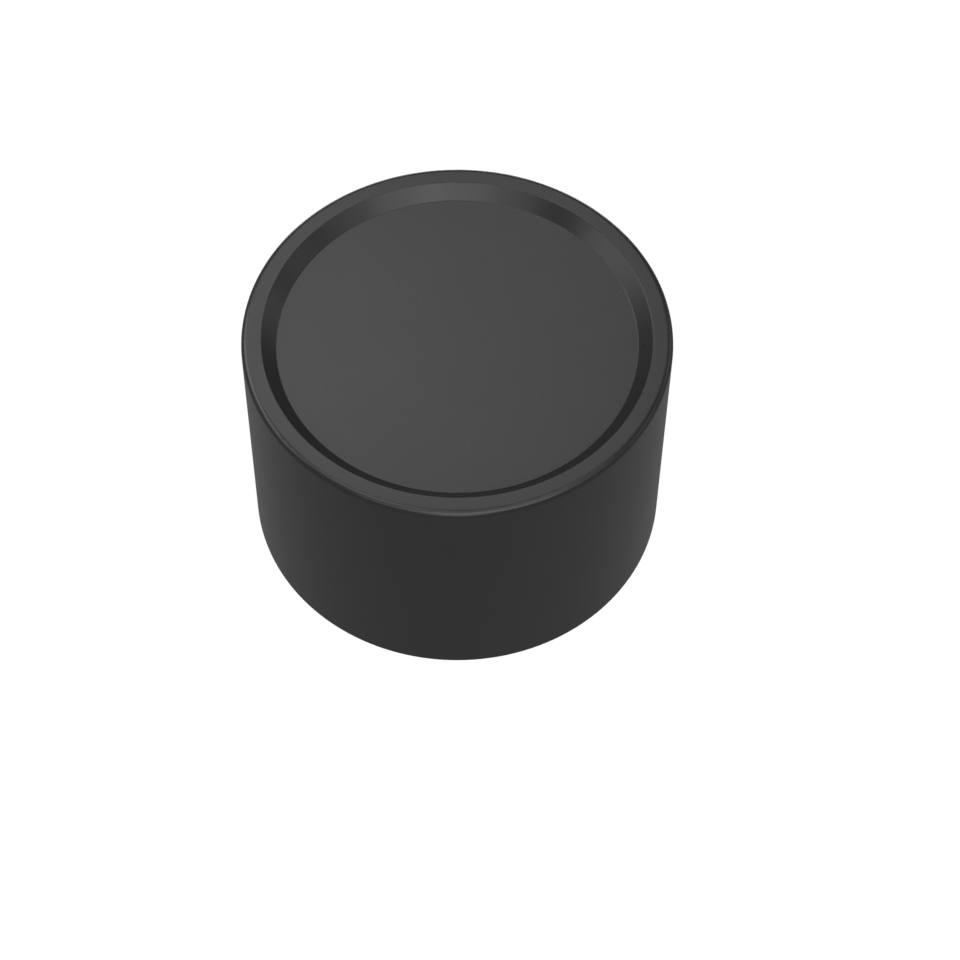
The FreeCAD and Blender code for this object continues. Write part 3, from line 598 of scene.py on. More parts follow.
NODES_BY_FINISH: dict[Finish, tuple[str, ...]] = {
    BLACK_RUBBER: ("base_seal_ring", "insert_seal_ring", "bezel_seal"),
    MEMBRANE: ("vent_membrane",),
    STAINLESS: (
        "insert_screws", "tray_screws", "usb_socket_shell", "port_hinge_pin", "button_retainer",
        "plane_screws",
    ),
    TRAY: ("battery_tray",),
    SLEEVE: ("battery_cells",),
    NICKEL: ("cell_strips",),
    RED_WIRE: ("battery_lead_red",),
    BLACK_WIRE: ("battery_lead_black", "antenna_cable"),
    NYLON: ("battery_plug", "battery_socket", "power_switch_plunger"),
    BOARD: ("main_board", "ground_plane"),
    TIN: ("positioning_module", "radio_module", "amplifier_shield"),
    PACKAGE: ("board_chips", "power_switch_body"),
    FERRITE: ("power_inductors",),
    CONTACTS: ("usb_socket_tongue",),
    GREY_SILICONE: ("usb_socket_gasket",),
    LAMP: ("status_leds",),
    CLEAR: ("light_pipe",),
    ORANGE_SILICONE: ("button_seal_ring",),
    BRASS: ("antenna_standoffs",),
    CERAMIC: ("lower_patch", "upper_patch"),
    SILVER: ("lower_patch_silver", "upper_patch_silver"),
    GOLD: ("feed_pins", "rf_sockets", "rf_plugs"),
}


# ---------------------------------------------------------------- modelling


def wire_point(corner: Corner) -> Vector:
    """The place in the XZ plane of an outline's corner, in millimetres."""
    return Vector((corner[0], 0.0, corner[1]))


class Blank:
    """A piece on the bench: a primitive that operators and modifiers shape. Sizes in mm."""

    def __init__(self, name: str) -> None:
        """Takes the primitive that was just added."""
        self.piece = bpy.context.object
        self.piece.name = name
        self.piece.data.name = name

    @classmethod
    def box(cls, name: str, low: Corner, high: Corner) -> "Blank":
        """A block between two corners."""
        clear_selection()
        middle = (Vector(low) + Vector(high)) * (MM / 2)
        size = (Vector(high) - Vector(low)) * MM
        bpy.ops.mesh.primitive_cube_add(size=1.0, location=middle, scale=size)
        return cls(name).settle()

    @classmethod
    def bar(cls, name: str, radius: float, start: Corner, end: Corner, sides: int = 64) -> "Blank":
        """A round bar from one point to another."""
        clear_selection()
        run = Vector(end) - Vector(start)
        bpy.ops.mesh.primitive_cylinder_add(
            vertices=sides,
            radius=radius * MM,
            depth=run.length * MM,
            location=(Vector(start) + Vector(end)) * (MM / 2),
            rotation=run.to_track_quat("Z", "X").to_euler(),
        )
        return cls(name).settle()

    @classmethod
    def outline(cls, name: str, corners: Sequence[Corner], steps: int) -> "Blank":
        """A closed wire in the XZ plane, extruded point by point and rounded at its corners.

        Args:
            name: the piece's name.
            corners: the radius, height and fillet of each corner, in order.
            steps: stretches in a quarter turn of fillet.

        Returns:
            The wire, open in edit mode.
        """
        clear_selection()
        bpy.ops.mesh.primitive_plane_add(size=MM, location=wire_point(corners[0]) * MM)
        blank = cls(name).settle().edit()
        bpy.ops.mesh.select_all(action="SELECT")
        bpy.ops.mesh.merge(type="CENTER")
        following = [*corners[1:], corners[0]]
        for corner, ahead in zip(corners, following):
            run = (wire_point(ahead) - wire_point(corner)) * MM
            bpy.ops.mesh.extrude_vertices_move(TRANSFORM_OT_translate={"value": run})
        blank.weld()
        for before, corner, ahead in zip([corners[-1], *corners], corners, following):
            if corner[2] > 0.0:
                blank.round_corner(before, corner, ahead, steps)
        return blank

    def round_corner(self, before: Corner, corner: Corner, ahead: Corner, steps: int) -> None:
        """Rounds one corner of an outline by its fillet."""
        here = wire_point(corner)
        turn = math.pi - (wire_point(before) - here).angle(wire_point(ahead) - here)
        self.pick_points(lambda place: (place - here).length < 0.001)
        bpy.ops.mesh.bevel(
            offset=corner[2] * math.tan(turn / 2) * MM,
            segments=max(2, round(steps * turn / (math.pi / 2))),
            affect="VERTICES",
            clamp_overlap=False,
        )

    @classmethod
    def turned(
        cls, name: str, corners: Sequence[Corner], sides: int = 128, steps: int = 6
    ) -> "Blank":
        """A turned piece about the Z axis.

        Args:
            name: the piece's name.
            corners: the radius, height and fillet of each corner of its outline.
            sides: facets round the axis.
            steps: stretches in a quarter turn of fillet.

        Returns:
            The closed, turned solid.
        """
        blank = cls.outline(name, corners, steps)
        bpy.ops.mesh.select_all(action="SELECT")
        bpy.ops.mesh.spin(
            steps=sides, angle=math.tau, center=(0, 0, 0), axis=(0, 0, 1), use_auto_merge=False
        )
        blank.weld()
        bpy.ops.mesh.delete_loose(use_verts=True, use_edges=True, use_faces=False)
        return blank.face_outwards()

    @classmethod
    def carried(
        cls, name: str, corners: Sequence[Corner], pitch: float, turns: int, sides: int = 64
    ) -> "Blank":
        """An outline carried up the Z axis in a helix, as a thread's groove is.

        Args:
            name: the piece's name.
            corners: the radius, height and fillet of each corner of its outline.
            pitch: rise of one turn.
            turns: how many turns.
            sides: facets in a turn.

        Returns:
            The solid, closed at both ends.
        """
        blank = cls.outline(name, corners, 6).leave()
        return blank.wind(pitch, turns, sides)

    def wind(self, pitch: float, turns: int, sides: int) -> "Blank":
        """Carries a closed wire round the Z axis in a helix and closes its ends."""
        self.modify(
            "SCREW",
            axis="Z",
            angle=math.tau,
            screw_offset=pitch * MM,
            iterations=turns,
            steps=sides,
            render_steps=sides,
            use_merge_vertices=False,
        )
        self.edit()
        bpy.ops.mesh.select_all(action="SELECT")
        bpy.ops.mesh.fill_holes(sides=0)
        return self.face_outwards()

    @classmethod
    def plate(cls, name: str, corners: Sequence[Corner], low: float, high: float) -> "Blank":
        """A flat shape in the XZ plane, given its thickness along Y.

        Args:
            name: the piece's name.
            corners: the x, z and fillet of each corner of its outline.
            low: the y of its back.
            high: the y of its face.

        Returns:
            The closed plate.
        """
        blank = cls.outline(name, corners, 4)
        bpy.ops.mesh.select_all(action="SELECT")
        bpy.ops.mesh.edge_face_add()
        bpy.ops.transform.translate(value=(0.0, low * MM, 0.0))
        bpy.ops.mesh.extrude_region_move(
            TRANSFORM_OT_translate={"value": (0.0, (high - low) * MM, 0.0)}
        )
        return blank.face_outwards()

    @classmethod
    def tube(cls, name: str, inner: float, outer: float, low: float, high: float) -> "Blank":
        """A plain ring of wall about the Z axis."""
        outline = [(inner, low, 0.0), (outer, low, 0.0), (outer, high, 0.0), (inner, high, 0.0)]
        return cls.turned(name, outline, sides=240)

    @classmethod
    def slab(cls, name: str, low: Corner, high: Corner, corner: float) -> "Blank":
        """A block whose upright outline, seen along Y, has rounded corners."""
        blank = cls.box(name, low, high)
        blank.pick_edges(lambda start, end: abs(start.y - end.y) > 1.0 and start.xz == end.xz)
        bpy.ops.mesh.bevel(offset=corner * MM, segments=10, affect="EDGES", clamp_overlap=False)
        return blank.leave()

    def single_out(self) -> None:
        """Leaves this piece alone selected and active."""
        clear_selection()
        self.piece.select_set(True)
        bpy.context.view_layer.objects.active = self.piece

    def weld(self) -> None:
        """Merges doubled points, in edit mode."""
        bpy.ops.mesh.select_all(action="SELECT")
        bpy.ops.mesh.remove_doubles(threshold=SEAM * MM)
        bpy.ops.mesh.select_all(action="SELECT")

    def face_outwards(self) -> "Blank":
        """Turns every face outwards and closes edit mode."""
        bpy.ops.mesh.select_all(action="SELECT")
        bpy.ops.mesh.normals_make_consistent(inside=False)
        return self.leave()

    def edit(self, pick: str = "VERT") -> "Blank":
        """Opens the piece alone in edit mode, to pick points, edges or faces."""
        self.single_out()
        bpy.ops.object.mode_set(mode="EDIT")
        bpy.ops.mesh.select_mode(type=pick)
        return self

    def leave(self) -> "Blank":
        """Closes edit mode."""
        bpy.ops.object.mode_set(mode="OBJECT")
        return self

    def settle(self) -> "Blank":
        """Puts the piece's place, turn and scale into its mesh."""
        self.single_out()
        bpy.ops.object.transform_apply(location=True, rotation=True, scale=True)
        return self

    def turn(self, degrees: float, axis: str = "Z") -> "Blank":
        """Turns the piece about a frame axis."""
        turns = {"X": (1, 0, 0), "Y": (0, 1, 0), "Z": (0, 0, 1)}[axis]
        self.piece.rotation_euler = Euler([math.radians(degrees) * part for part in turns])
        return self.settle()

    def move(self, x: float, y: float, z: float) -> "Blank":
        """Shifts the piece."""
        self.piece.location = Vector((x, y, z)) * MM
        return self.settle()

    def copy(self, name: str) -> "Blank":
        """A second piece with its own mesh."""
        twin = self.piece.copy()
        twin.data = self.piece.data.copy()
        bpy.context.scene.collection.objects.link(twin)
        clear_selection()
        bpy.context.view_layer.objects.active = twin
        return Blank(name)

    def pick_edges(self, wanted: Callable[[Vector, Vector], bool]) -> "Blank":
        """Opens the piece and selects edges by their two ends (mm)."""
        self.edit("EDGE")
        bpy.ops.mesh.select_all(action="DESELECT")
        mesh = bmesh.from_edit_mesh(self.piece.data)
        for edge in mesh.edges:
            start, end = (vertex.co / MM for vertex in edge.verts)
            edge.select_set(wanted(start, end))
        bmesh.update_edit_mesh(self.piece.data)
        return self

    def pick_points(self, wanted: Callable[[Vector], bool]) -> "Blank":
        """Opens the piece and selects points by place (mm)."""
        self.edit()
        bpy.ops.mesh.select_all(action="DESELECT")
        mesh = bmesh.from_edit_mesh(self.piece.data)
        for vertex in mesh.verts:
            vertex.select_set(wanted(vertex.co / MM))
        mesh.select_flush_mode()
        bmesh.update_edit_mesh(self.piece.data)
        return self

    def modify(self, kind: str, **settings: object) -> "Blank":
        """Adds a modifier, sets it and applies it."""
        self.single_out()
        modifier = self.piece.modifiers.new(kind.lower(), kind)
        for key, value in settings.items():
            setattr(modifier, key, value)
        bpy.ops.object.modifier_apply(modifier=modifier.name)
        return self

    def combine(self, how: Join, *others: "Blank") -> "Blank":
        """Cuts, merges or keeps the common part with other blanks, which are used up."""
        for other in others:
            self.modify("BOOLEAN", operation=how.value, solver="EXACT", object=other.piece)
            other.scrap()
        return self

    def gather(self, *others: "Blank") -> "Blank":
        """Joins separate solids into this piece without merging them."""
        clear_selection()
        for blank in (*others, self):
            blank.piece.select_set(True)
        bpy.context.view_layer.objects.active = self.piece
        bpy.ops.object.join()
        return self

    def scrap(self) -> None:
        """Removes a blank that was only a tool."""
        mesh = self.piece.data
        bpy.data.objects.remove(self.piece)
        bpy.data.meshes.remove(mesh)

    def soften(self, width: float, steps: int = 2, sharper_than: float = 35.0) -> "Blank":
        """Breaks every sharp edge by a small round."""
        return self.modify(
            "BEVEL",
            width=width * MM,
            segments=steps,
            limit_method="ANGLE",
            angle_limit=math.radians(sharper_than),
            use_clamp_overlap=True,
            miter_outer="MITER_ARC",
        )

    def smooth(self, degrees: float = 32.0) -> "Blank":
        """Shades smooth except across sharp edges, with the large faces kept flat."""
        self.edit()
        bpy.ops.mesh.select_all(action="SELECT")
        bpy.ops.mesh.dissolve_degenerate(threshold=SLIVER * MM)
        bpy.ops.mesh.delete_loose()
        self.leave()
        bpy.ops.object.shade_smooth_by_angle(angle=math.radians(degrees))
        return self.modify("WEIGHTED_NORMAL", keep_sharp=True)

    def place(self, body: Body, finish: Finish, slot: str, *stands_for: str) -> bpy.types.Object:
        """Dresses the piece and hangs it on its body.

        Args:
            body: the body it rides on.
            finish: its finish.
            slot: the record's material slot it belongs to; it is not used.
            stands_for: CAD nodes that it replaces.

        Returns:
            The finished object.
        """
        self.piece.data.materials.clear()
        self.piece.data.materials.append(material(finish))
        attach(self.piece, body.value)
        if stands_for:
            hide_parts(*stands_for)
        log.info("%s: %d faces, on %s", self.piece.name, len(self.piece.data.polygons), body.value)
        return self.piece


def clear_selection() -> None:
    """Leaves edit mode and deselects everything."""
    if bpy.context.object is not None and bpy.context.object.mode != "OBJECT":
        bpy.ops.object.mode_set(mode="OBJECT")
    bpy.ops.object.select_all(action="DESELECT")


def circle_places(radius: float, count: int, first_degrees: float) -> list[tuple[float, float]]:
    """Evenly spaced places on a circle about the axis."""
    angles = [math.radians(first_degrees + 360.0 * index / count) for index in range(count)]
    return [(radius * math.cos(angle), radius * math.sin(angle)) for angle in angles]


# ---------------------------------------------------------------- sub-assemblies


@dataclass
class ServiceOpening:
    """The stadium-shaped place in the back wall that the bezel fills."""

    half_x: float = 27.0
    half_z: float = 8.6
    centre_z: float = 31.23
    step_x: float = 0.8
    step_z: float = 1.0
    inside_y: float = 22.0

    def prism(self, name: str, grow_x: float, grow_z: float) -> Blank:
        """A stadium prism through the back wall, larger or smaller than the flange."""
        half_x = self.half_x + grow_x
        half_z = self.half_z + grow_z
        low = (-half_x, self.inside_y, self.centre_z - half_z)
        high = (half_x, OUTSIDE, self.centre_z + half_z)
        return Blank.slab(name, low, high, half_z - 0.1)

    def window(self, grow: float) -> Blank:
        """The smaller prism of the bezel's body."""
        return self.prism("window", grow - self.step_x, grow - self.step_z)


@dataclass
class HousingCap:
    """The moulded cap: wall, rim, cone, dish, and the screw bosses inside it."""

    opening: ServiceOpening
    radius: float = 44.5
    inner_radius: float = 42.1
    skirt_z: float = 0.8
    top_z: float = 58.1
    rim_radius: float = 40.3
    dish_depth: float = 2.85
    crown_wall: float = 2.2
    rim_fillet: float = 1.4
    edge_break: float = 0.35
    boss_circle: float = 37.3
    boss_radius: float = 3.1
    boss_low: float = 6.2
    boss_high: float = 20.0
    pilot_radius: float = 1.3

    def build(self) -> Blank:
        """Turns the shell, adds the bosses and cuts the back wall's opening."""
        dish_z = self.top_z - self.dish_depth
        dish_radius = self.rim_radius - self.dish_depth
        ceiling_z = dish_z - self.crown_wall
        channel = dish_radius - self.crown_wall * math.tan(math.radians(22.5))
        cap = Blank.turned(
            "housing_shell",
            [
                (self.inner_radius, self.skirt_z, 0.15),
                (self.radius, self.skirt_z, 0.2),
                (self.radius, self.top_z, self.rim_fillet),
                (self.rim_radius, self.top_z, self.edge_break),
                (dish_radius, dish_z, self.edge_break),
                (0.0, dish_z, 0.0),
                (0.0, ceiling_z, 0.0),
                (channel, ceiling_z, 0.5),
                (channel + self.dish_depth, ceiling_z + self.dish_depth, 0.5),
                (self.inner_radius, ceiling_z + self.dish_depth, 1.0),
            ],
            sides=288,
            steps=10,
        )
        for x, y in circle_places(self.boss_circle, 4, 0):
            cap.combine(Join.MERGE, self.boss(x, y))
        for x, y in circle_places(self.boss_circle, 4, 0):
            low, high = (x, y, self.boss_low - 1), (x, y, self.boss_low + 11)
            cap.combine(Join.CUT, Blank.bar("pilot", self.pilot_radius, low, high, 24))
        cap.combine(Join.CUT, self.opening.window(0.2))
        rebate = self.opening.prism("rebate", 0.15, 0.15)
        rebate.combine(Join.KEEP, Blank.tube("band", 43.0, OUTSIDE, 10.0, 50.0))
        return cap.combine(Join.CUT, rebate)

    def boss(self, x: float, y: float) -> Blank:
        """One screw boss with the rib that ties it to the wall."""
        bottom, top = (x, y, self.boss_low), (x, y, self.boss_high)
        boss = Blank.bar("boss", self.boss_radius, bottom, top, 40)
        low = (self.boss_circle, -1.5, self.boss_low)
        high = (self.inner_radius + 1.2, 1.5, self.boss_high)
        rib = Blank.box("rib", low, high).turn(math.degrees(math.atan2(y, x)))
        return boss.combine(Join.MERGE, rib)

    def dress(self) -> None:
        """Builds, smooths and places the cap."""
        cap = self.build().smooth(30.0)
        cap.place(Body.RECEIVER, HOUSING, "housing_plastic", "housing_cap")


@dataclass
class DoorPlace:
    """Where the charging door, its pocket and its hinge lie, drawn on +Y and then turned."""

    angle: float = 18.5
    recess_radius: float = 43.25
    skin_inner: float = 43.35
    skin_outer: float = 44.35
    free_x: float = 8.5
    half_z: float = 5.0
    corner: float = 2.0
    gap: float = 0.15
    hinge_x: float = -9.0
    hinge_y: float = 42.0
    hinge_radius: float = 1.35
    hinge_clear: float = 1.7
    wall_x: float = -10.8
    knuckle_half: float = 2.4
    pocket_half_x: float = 6.7
    pocket_half_z: float = 3.7
    pocket_corner: float = 3.0
    centre_z: float = 31.23


@dataclass
class ButtonPlace:
    """Where the power button's bore and chamber lie, drawn on +Y and then turned."""

    angle: float = -18.5
    centre_z: float = 31.23
    bore_radius: float = 5.0
    chamber_radius: float = 6.1
    boss_radius: float = 7.3
    boss_y: float = 36.4
    shoulder_y: float = 41.0


@dataclass
class ServiceBezel:
    """The bezel let into the back wall, with the door's recess and the button's chamber."""

    opening: ServiceOpening
    door: DoorPlace
    button: ButtonPlace
    back_radius: float = 40.6
    flange_radius: float = 43.1
    face_radius: float = 44.35
    light_angles: tuple[float, ...] = (-4.2, 0.0, 4.2)
    light_bore: float = 1.05
    nail_y: float = 44.6
    nail_radius: float = 1.3
    nail_half: float = 2.5
    sign_low: float = 44.2
    sign_face: float = 44.39
    sign_lift: float = 3.1
    sign_stroke: float = 0.2

    def band(self, inner: float, outer: float) -> Blank:
        """A ring of wall at the bezel's height."""
        return Blank.tube("band", inner, outer, 15.0, 48.0)

    def body(self) -> Blank:
        """The flange, the body behind it and the button's boss, as one solid."""
        flange = self.opening.prism("service_bezel", 0.0, 0.0)
        flange.combine(Join.KEEP, self.band(self.flange_radius, self.face_radius))
        block = self.opening.window(0.0)
        block.combine(Join.KEEP, self.band(self.back_radius, self.flange_radius + 0.3))
        z = self.button.centre_z
        boss = Blank.bar(
            "boss", self.button.boss_radius, (0, self.button.boss_y, z), (0, 42.0, z), 96
        ).turn(self.button.angle)
        return flange.combine(Join.MERGE, block, boss)

    def recess(self) -> list[Blank]:
        """What is cut away for the door's skin, its knuckle and a fingernail."""
        door = self.door
        reach = door.half_z + door.gap
        low = (door.wall_x, 30.0, door.centre_z - reach)
        high = (door.free_x + door.gap, OUTSIDE, door.centre_z + reach)
        skin = Blank.slab("recess", low, high, door.corner + door.gap)
        skin.combine(Join.KEEP, self.band(door.recess_radius, 46.0))
        knuckle = Blank.box(
            "knuckle_room",
            (door.wall_x, door.hinge_y - 1.6, door.centre_z - reach),
            (door.hinge_x + door.hinge_clear, OUTSIDE, door.centre_z + reach),
        )
        nail_place = (door.free_x + 0.2, self.nail_y)
        nail = Blank.bar(
            "nail",
            self.nail_radius,
            (*nail_place, door.centre_z - self.nail_half),
            (*nail_place, door.centre_z + self.nail_half),
            48,
        )
        return [tool.turn(door.angle) for tool in (skin, knuckle, nail)]

    def ears(self) -> list[Blank]:
        """The two hinge ears, each a barrel on a root."""
        door = self.door
        x, y = door.hinge_x, door.hinge_y
        made = []
        clear = door.knuckle_half + 0.15
        reach = door.half_z + door.gap + 0.3
        for low, high in ((-reach, -clear), (clear, reach)):
            bottom, top = door.centre_z + low, door.centre_z + high
            barrel = Blank.bar("ear", door.hinge_radius, (x, y, bottom), (x, y, top), 48)
            root = Blank.box("root", (door.wall_x - 0.2, 40.0, bottom), (x, y + 0.9, top))
            foot = Blank.box("foot", (x - 0.1, 40.0, bottom), (x + 1.0, y - 0.8, top))
            made.append(barrel.combine(Join.MERGE, root, foot).turn(door.angle))
        return made

    def openings(self) -> list[Blank]:
        """What is cut right through: charging pocket, pin hole, button bore and light holes."""
        door, button = self.door, self.button
        z = door.centre_z
        pocket = Blank.slab(
            "pocket",
            (-door.pocket_half_x, 30.0, z - door.pocket_half_z),
            (door.pocket_half_x, OUTSIDE, z + door.pocket_half_z),
            door.pocket_corner,
        ).turn(door.angle)
        hinge = (door.hinge_x, door.hinge_y)
        pin = Blank.bar("pin", 0.5, (*hinge, z - 5.4), (*hinge, z + 5.4), 32).turn(door.angle)
        back, shoulder = button.boss_y - 1, button.shoulder_y
        bore = Blank.bar("bore", button.bore_radius, (0, shoulder - 0.1, z), (0, 46, z), 96)
        chamber = Blank.bar("chamber", button.chamber_radius, (0, back, z), (0, shoulder, z), 96)
        tools = [pocket, pin, bore.turn(button.angle), chamber.turn(button.angle)]
        for angle in self.light_angles:
            light = Blank.bar("light", self.light_bore, (0, 38, z), (0, 46, z), 40)
            tools.append(light.turn(angle))
        return tools

    def ring_sign(self, radius: float) -> Blank:
        """A thin ring on the face, part of a sign."""
        z = self.door.centre_z + self.sign_lift
        ring = Blank.bar("ring", radius, (0, self.sign_low, z), (0, self.sign_face, z), 40)
        low, high = (0, self.sign_low - 1, z), (0, self.sign_face + 1, z)
        return ring.combine(Join.CUT, Blank.bar("core", radius - self.sign_stroke, low, high, 40))

    def stroke_sign(self, low: tuple[float, float], high: tuple[float, float]) -> Blank:
        """A straight stroke on the face between two (x, z) corners, part of a sign."""
        z = self.door.centre_z + self.sign_lift
        start = (low[0], self.sign_low, z + low[1])
        return Blank.box("stroke", start, (high[0], self.sign_face, z + high[1]))

    def battery_sign(self) -> Blank:
        """An outlined cell with two bars of charge."""
        shell = self.stroke_sign((-1.0, -0.6), (0.9, 0.6))
        inner_low = (-0.8, self.sign_low - 1, self.door.centre_z + self.sign_lift - 0.4)
        inner_high = (0.7, self.sign_face + 1, self.door.centre_z + self.sign_lift + 0.4)
        shell.combine(Join.CUT, Blank.box("inner", inner_low, inner_high))
        nub = self.stroke_sign((0.95, -0.25), (1.1, 0.25))
        bars = [self.stroke_sign((x, -0.25), (x + 0.3, 0.25)) for x in (-0.6, -0.15)]
        return shell.gather(nub, *bars)

    def fix_sign(self) -> Blank:
        """A ring with four ticks, for a position fix."""
        ticks = [
            self.stroke_sign((-0.1, 0.65), (0.1, 1.15)),
            self.stroke_sign((-0.1, -1.15), (0.1, -0.65)),
            self.stroke_sign((0.65, -0.1), (1.15, 0.1)),
            self.stroke_sign((-1.15, -0.1), (-0.65, 0.1)),
        ]
        return self.ring_sign(0.6).gather(*ticks, self.stroke_sign((-0.12, -0.12), (0.12, 0.12)))

    def link_sign(self) -> Blank:
        """A dot under two arcs, for the radio link."""
        z = self.door.centre_z + self.sign_lift
        arcs = []
        for radius in (0.75, 1.2):
            arc = self.ring_sign(radius)
            reach = radius * 0.75
            keep = Blank.box("keep", (-reach, 43.0, z + radius * 0.3), (reach, 46.0, z + 2.0))
            arcs.append(arc.combine(Join.KEEP, keep))
        return self.stroke_sign((-0.15, -0.15), (0.15, 0.15)).gather(*arcs).move(0.0, 0.0, -0.5)

    def signs(self) -> Blank:
        """The three printed signs over the lights."""
        drawn = (self.link_sign(), self.fix_sign(), self.battery_sign())
        placed = [sign.turn(angle) for sign, angle in zip(drawn, self.light_angles)]
        group = placed[0].gather(*placed[1:])
        group.piece.name = group.piece.data.name = "light_signs"
        return group

    def dress(self) -> None:
        """Builds the bezel, breaks its edges and places it."""
        bezel = self.body()
        bezel.combine(Join.CUT, *self.recess())
        bezel.combine(Join.MERGE, *self.ears())
        bezel.combine(Join.CUT, *self.openings())
        bezel.soften(0.12, 2).smooth(40.0)
        bezel.place(Body.RECEIVER, BEZEL, "bezel_plastic", "control_bezel")
        self.signs().smooth().place(Body.RECEIVER, LEGEND, "bezel_plastic")


@dataclass
class ChargingDoor:
    """The hinged door, with the soft plug that seals the pocket behind it."""

    door: DoorPlace
    lip_gap: float = 0.2
    plug_back: float = 41.4
    plug_front: float = 43.6
    bead: float = 0.13
    bead_width: float = 0.3
    bead_places: tuple[float, ...] = (41.75, 42.45)
    grip_ribs: tuple[float, ...] = (5.4, 6.1, 6.8)
    grip_radius: float = 44.47
    ear_room: float = 1.55
    sign_face: float = 44.38

    def skin(self) -> Blank:
        """The curved leaf with its knuckle and a raised finger bar."""
        door = self.door
        z = door.centre_z
        leaf = Blank.slab(
            "charging_door",
            (door.hinge_x - 6, 30.0, z - door.half_z),
            (door.free_x, OUTSIDE, z + door.half_z),
            door.corner,
        )
        leaf.combine(Join.KEEP, Blank.tube("band", door.skin_inner, door.skin_outer, 20, 42))
        reach = door.half_z + 1
        beyond_x, ear_x = door.hinge_x - 10, door.hinge_x + self.ear_room
        cuts = [
            ((beyond_x, 30, z - reach), (door.hinge_x, 50, z + reach)),
            ((beyond_x, 30, z - reach), (ear_x, 50, z - door.knuckle_half)),
            ((beyond_x, 30, z + door.knuckle_half), (ear_x, 50, z + reach)),
        ]
        leaf.combine(Join.CUT, *(Blank.box("clearance", low, high) for low, high in cuts))
        for x in self.grip_ribs:
            rib = Blank.box("rib", (x - 0.16, 40.0, z - 2.6), (x + 0.16, 46.0, z + 2.6))
            band = Blank.tube("band", door.skin_inner + 0.5, self.grip_radius, 20, 42)
            leaf.combine(Join.MERGE, rib.combine(Join.KEEP, band))
        hinge = (door.hinge_x, door.hinge_y)
        low, high = (*hinge, z - door.knuckle_half), (*hinge, z + door.knuckle_half)
        leaf.combine(Join.MERGE, Blank.bar("knuckle", door.hinge_radius, low, high, 48))
        leaf.combine(Join.CUT, Blank.bar("bore", 0.55, (*hinge, z - 6), (*hinge, z + 6), 32))
        return leaf

    def sign(self) -> Blank:
        """A printed bolt that marks the charging socket."""
        half_bolt = [(0.3, 1.4), (-0.85, -0.25), (-0.1, -0.25)]
        outline = [(x * way, z * way, 0.0) for way in (1, -1) for x, z in half_bolt]
        bolt = Blank.plate("charging_sign", outline, self.door.skin_outer - 0.2, self.sign_face)
        return bolt.move(0.0, 0.0, self.door.centre_z)

    def plug(self) -> Blank:
        """The soft plug, hollow inside, with two sealing beads round it."""
        door = self.door
        z = door.centre_z
        half_x = door.pocket_half_x - self.lip_gap
        half_z = door.pocket_half_z - self.lip_gap
        corner = door.pocket_corner - self.lip_gap
        low, high = (-half_x, self.plug_back, z - half_z), (half_x, self.plug_front, z + half_z)
        plug = Blank.slab("door_plug", low, high, corner)
        half_x, half_z = half_x + self.bead, half_z + self.bead
        for y in self.bead_places:
            low, high = (-half_x, y, z - half_z), (half_x, y + self.bead_width, z + half_z)
            plug.combine(Join.MERGE, Blank.slab("bead", low, high, corner + self.bead))
        hollow = Blank.slab("hollow", (-5.2, 41.0, z - 2.2), (5.2, 42.5, z + 2.2), 1.8)
        plug.combine(Join.CUT, hollow)
        plug.combine(Join.KEEP, Blank.bar("inside", door.skin_inner, (0, 0, 20), (0, 0, 42), 240))
        return plug

    def dress(self) -> None:
        """Places the door and its plug on the door's body."""
        skin = self.skin().soften(0.12, 2).smooth(40.0).turn(self.door.angle)
        skin.place(Body.DOOR, BEZEL, "bezel_plastic", "port_door")
        sign = self.sign().smooth().turn(self.door.angle)
        sign.place(Body.DOOR, LEGEND, "bezel_plastic")
        plug = self.plug().soften(0.08, 2).smooth(40.0).turn(self.door.angle)
        plug.place(Body.DOOR, GREY_SILICONE, "grey_silicone", "port_door_seal")


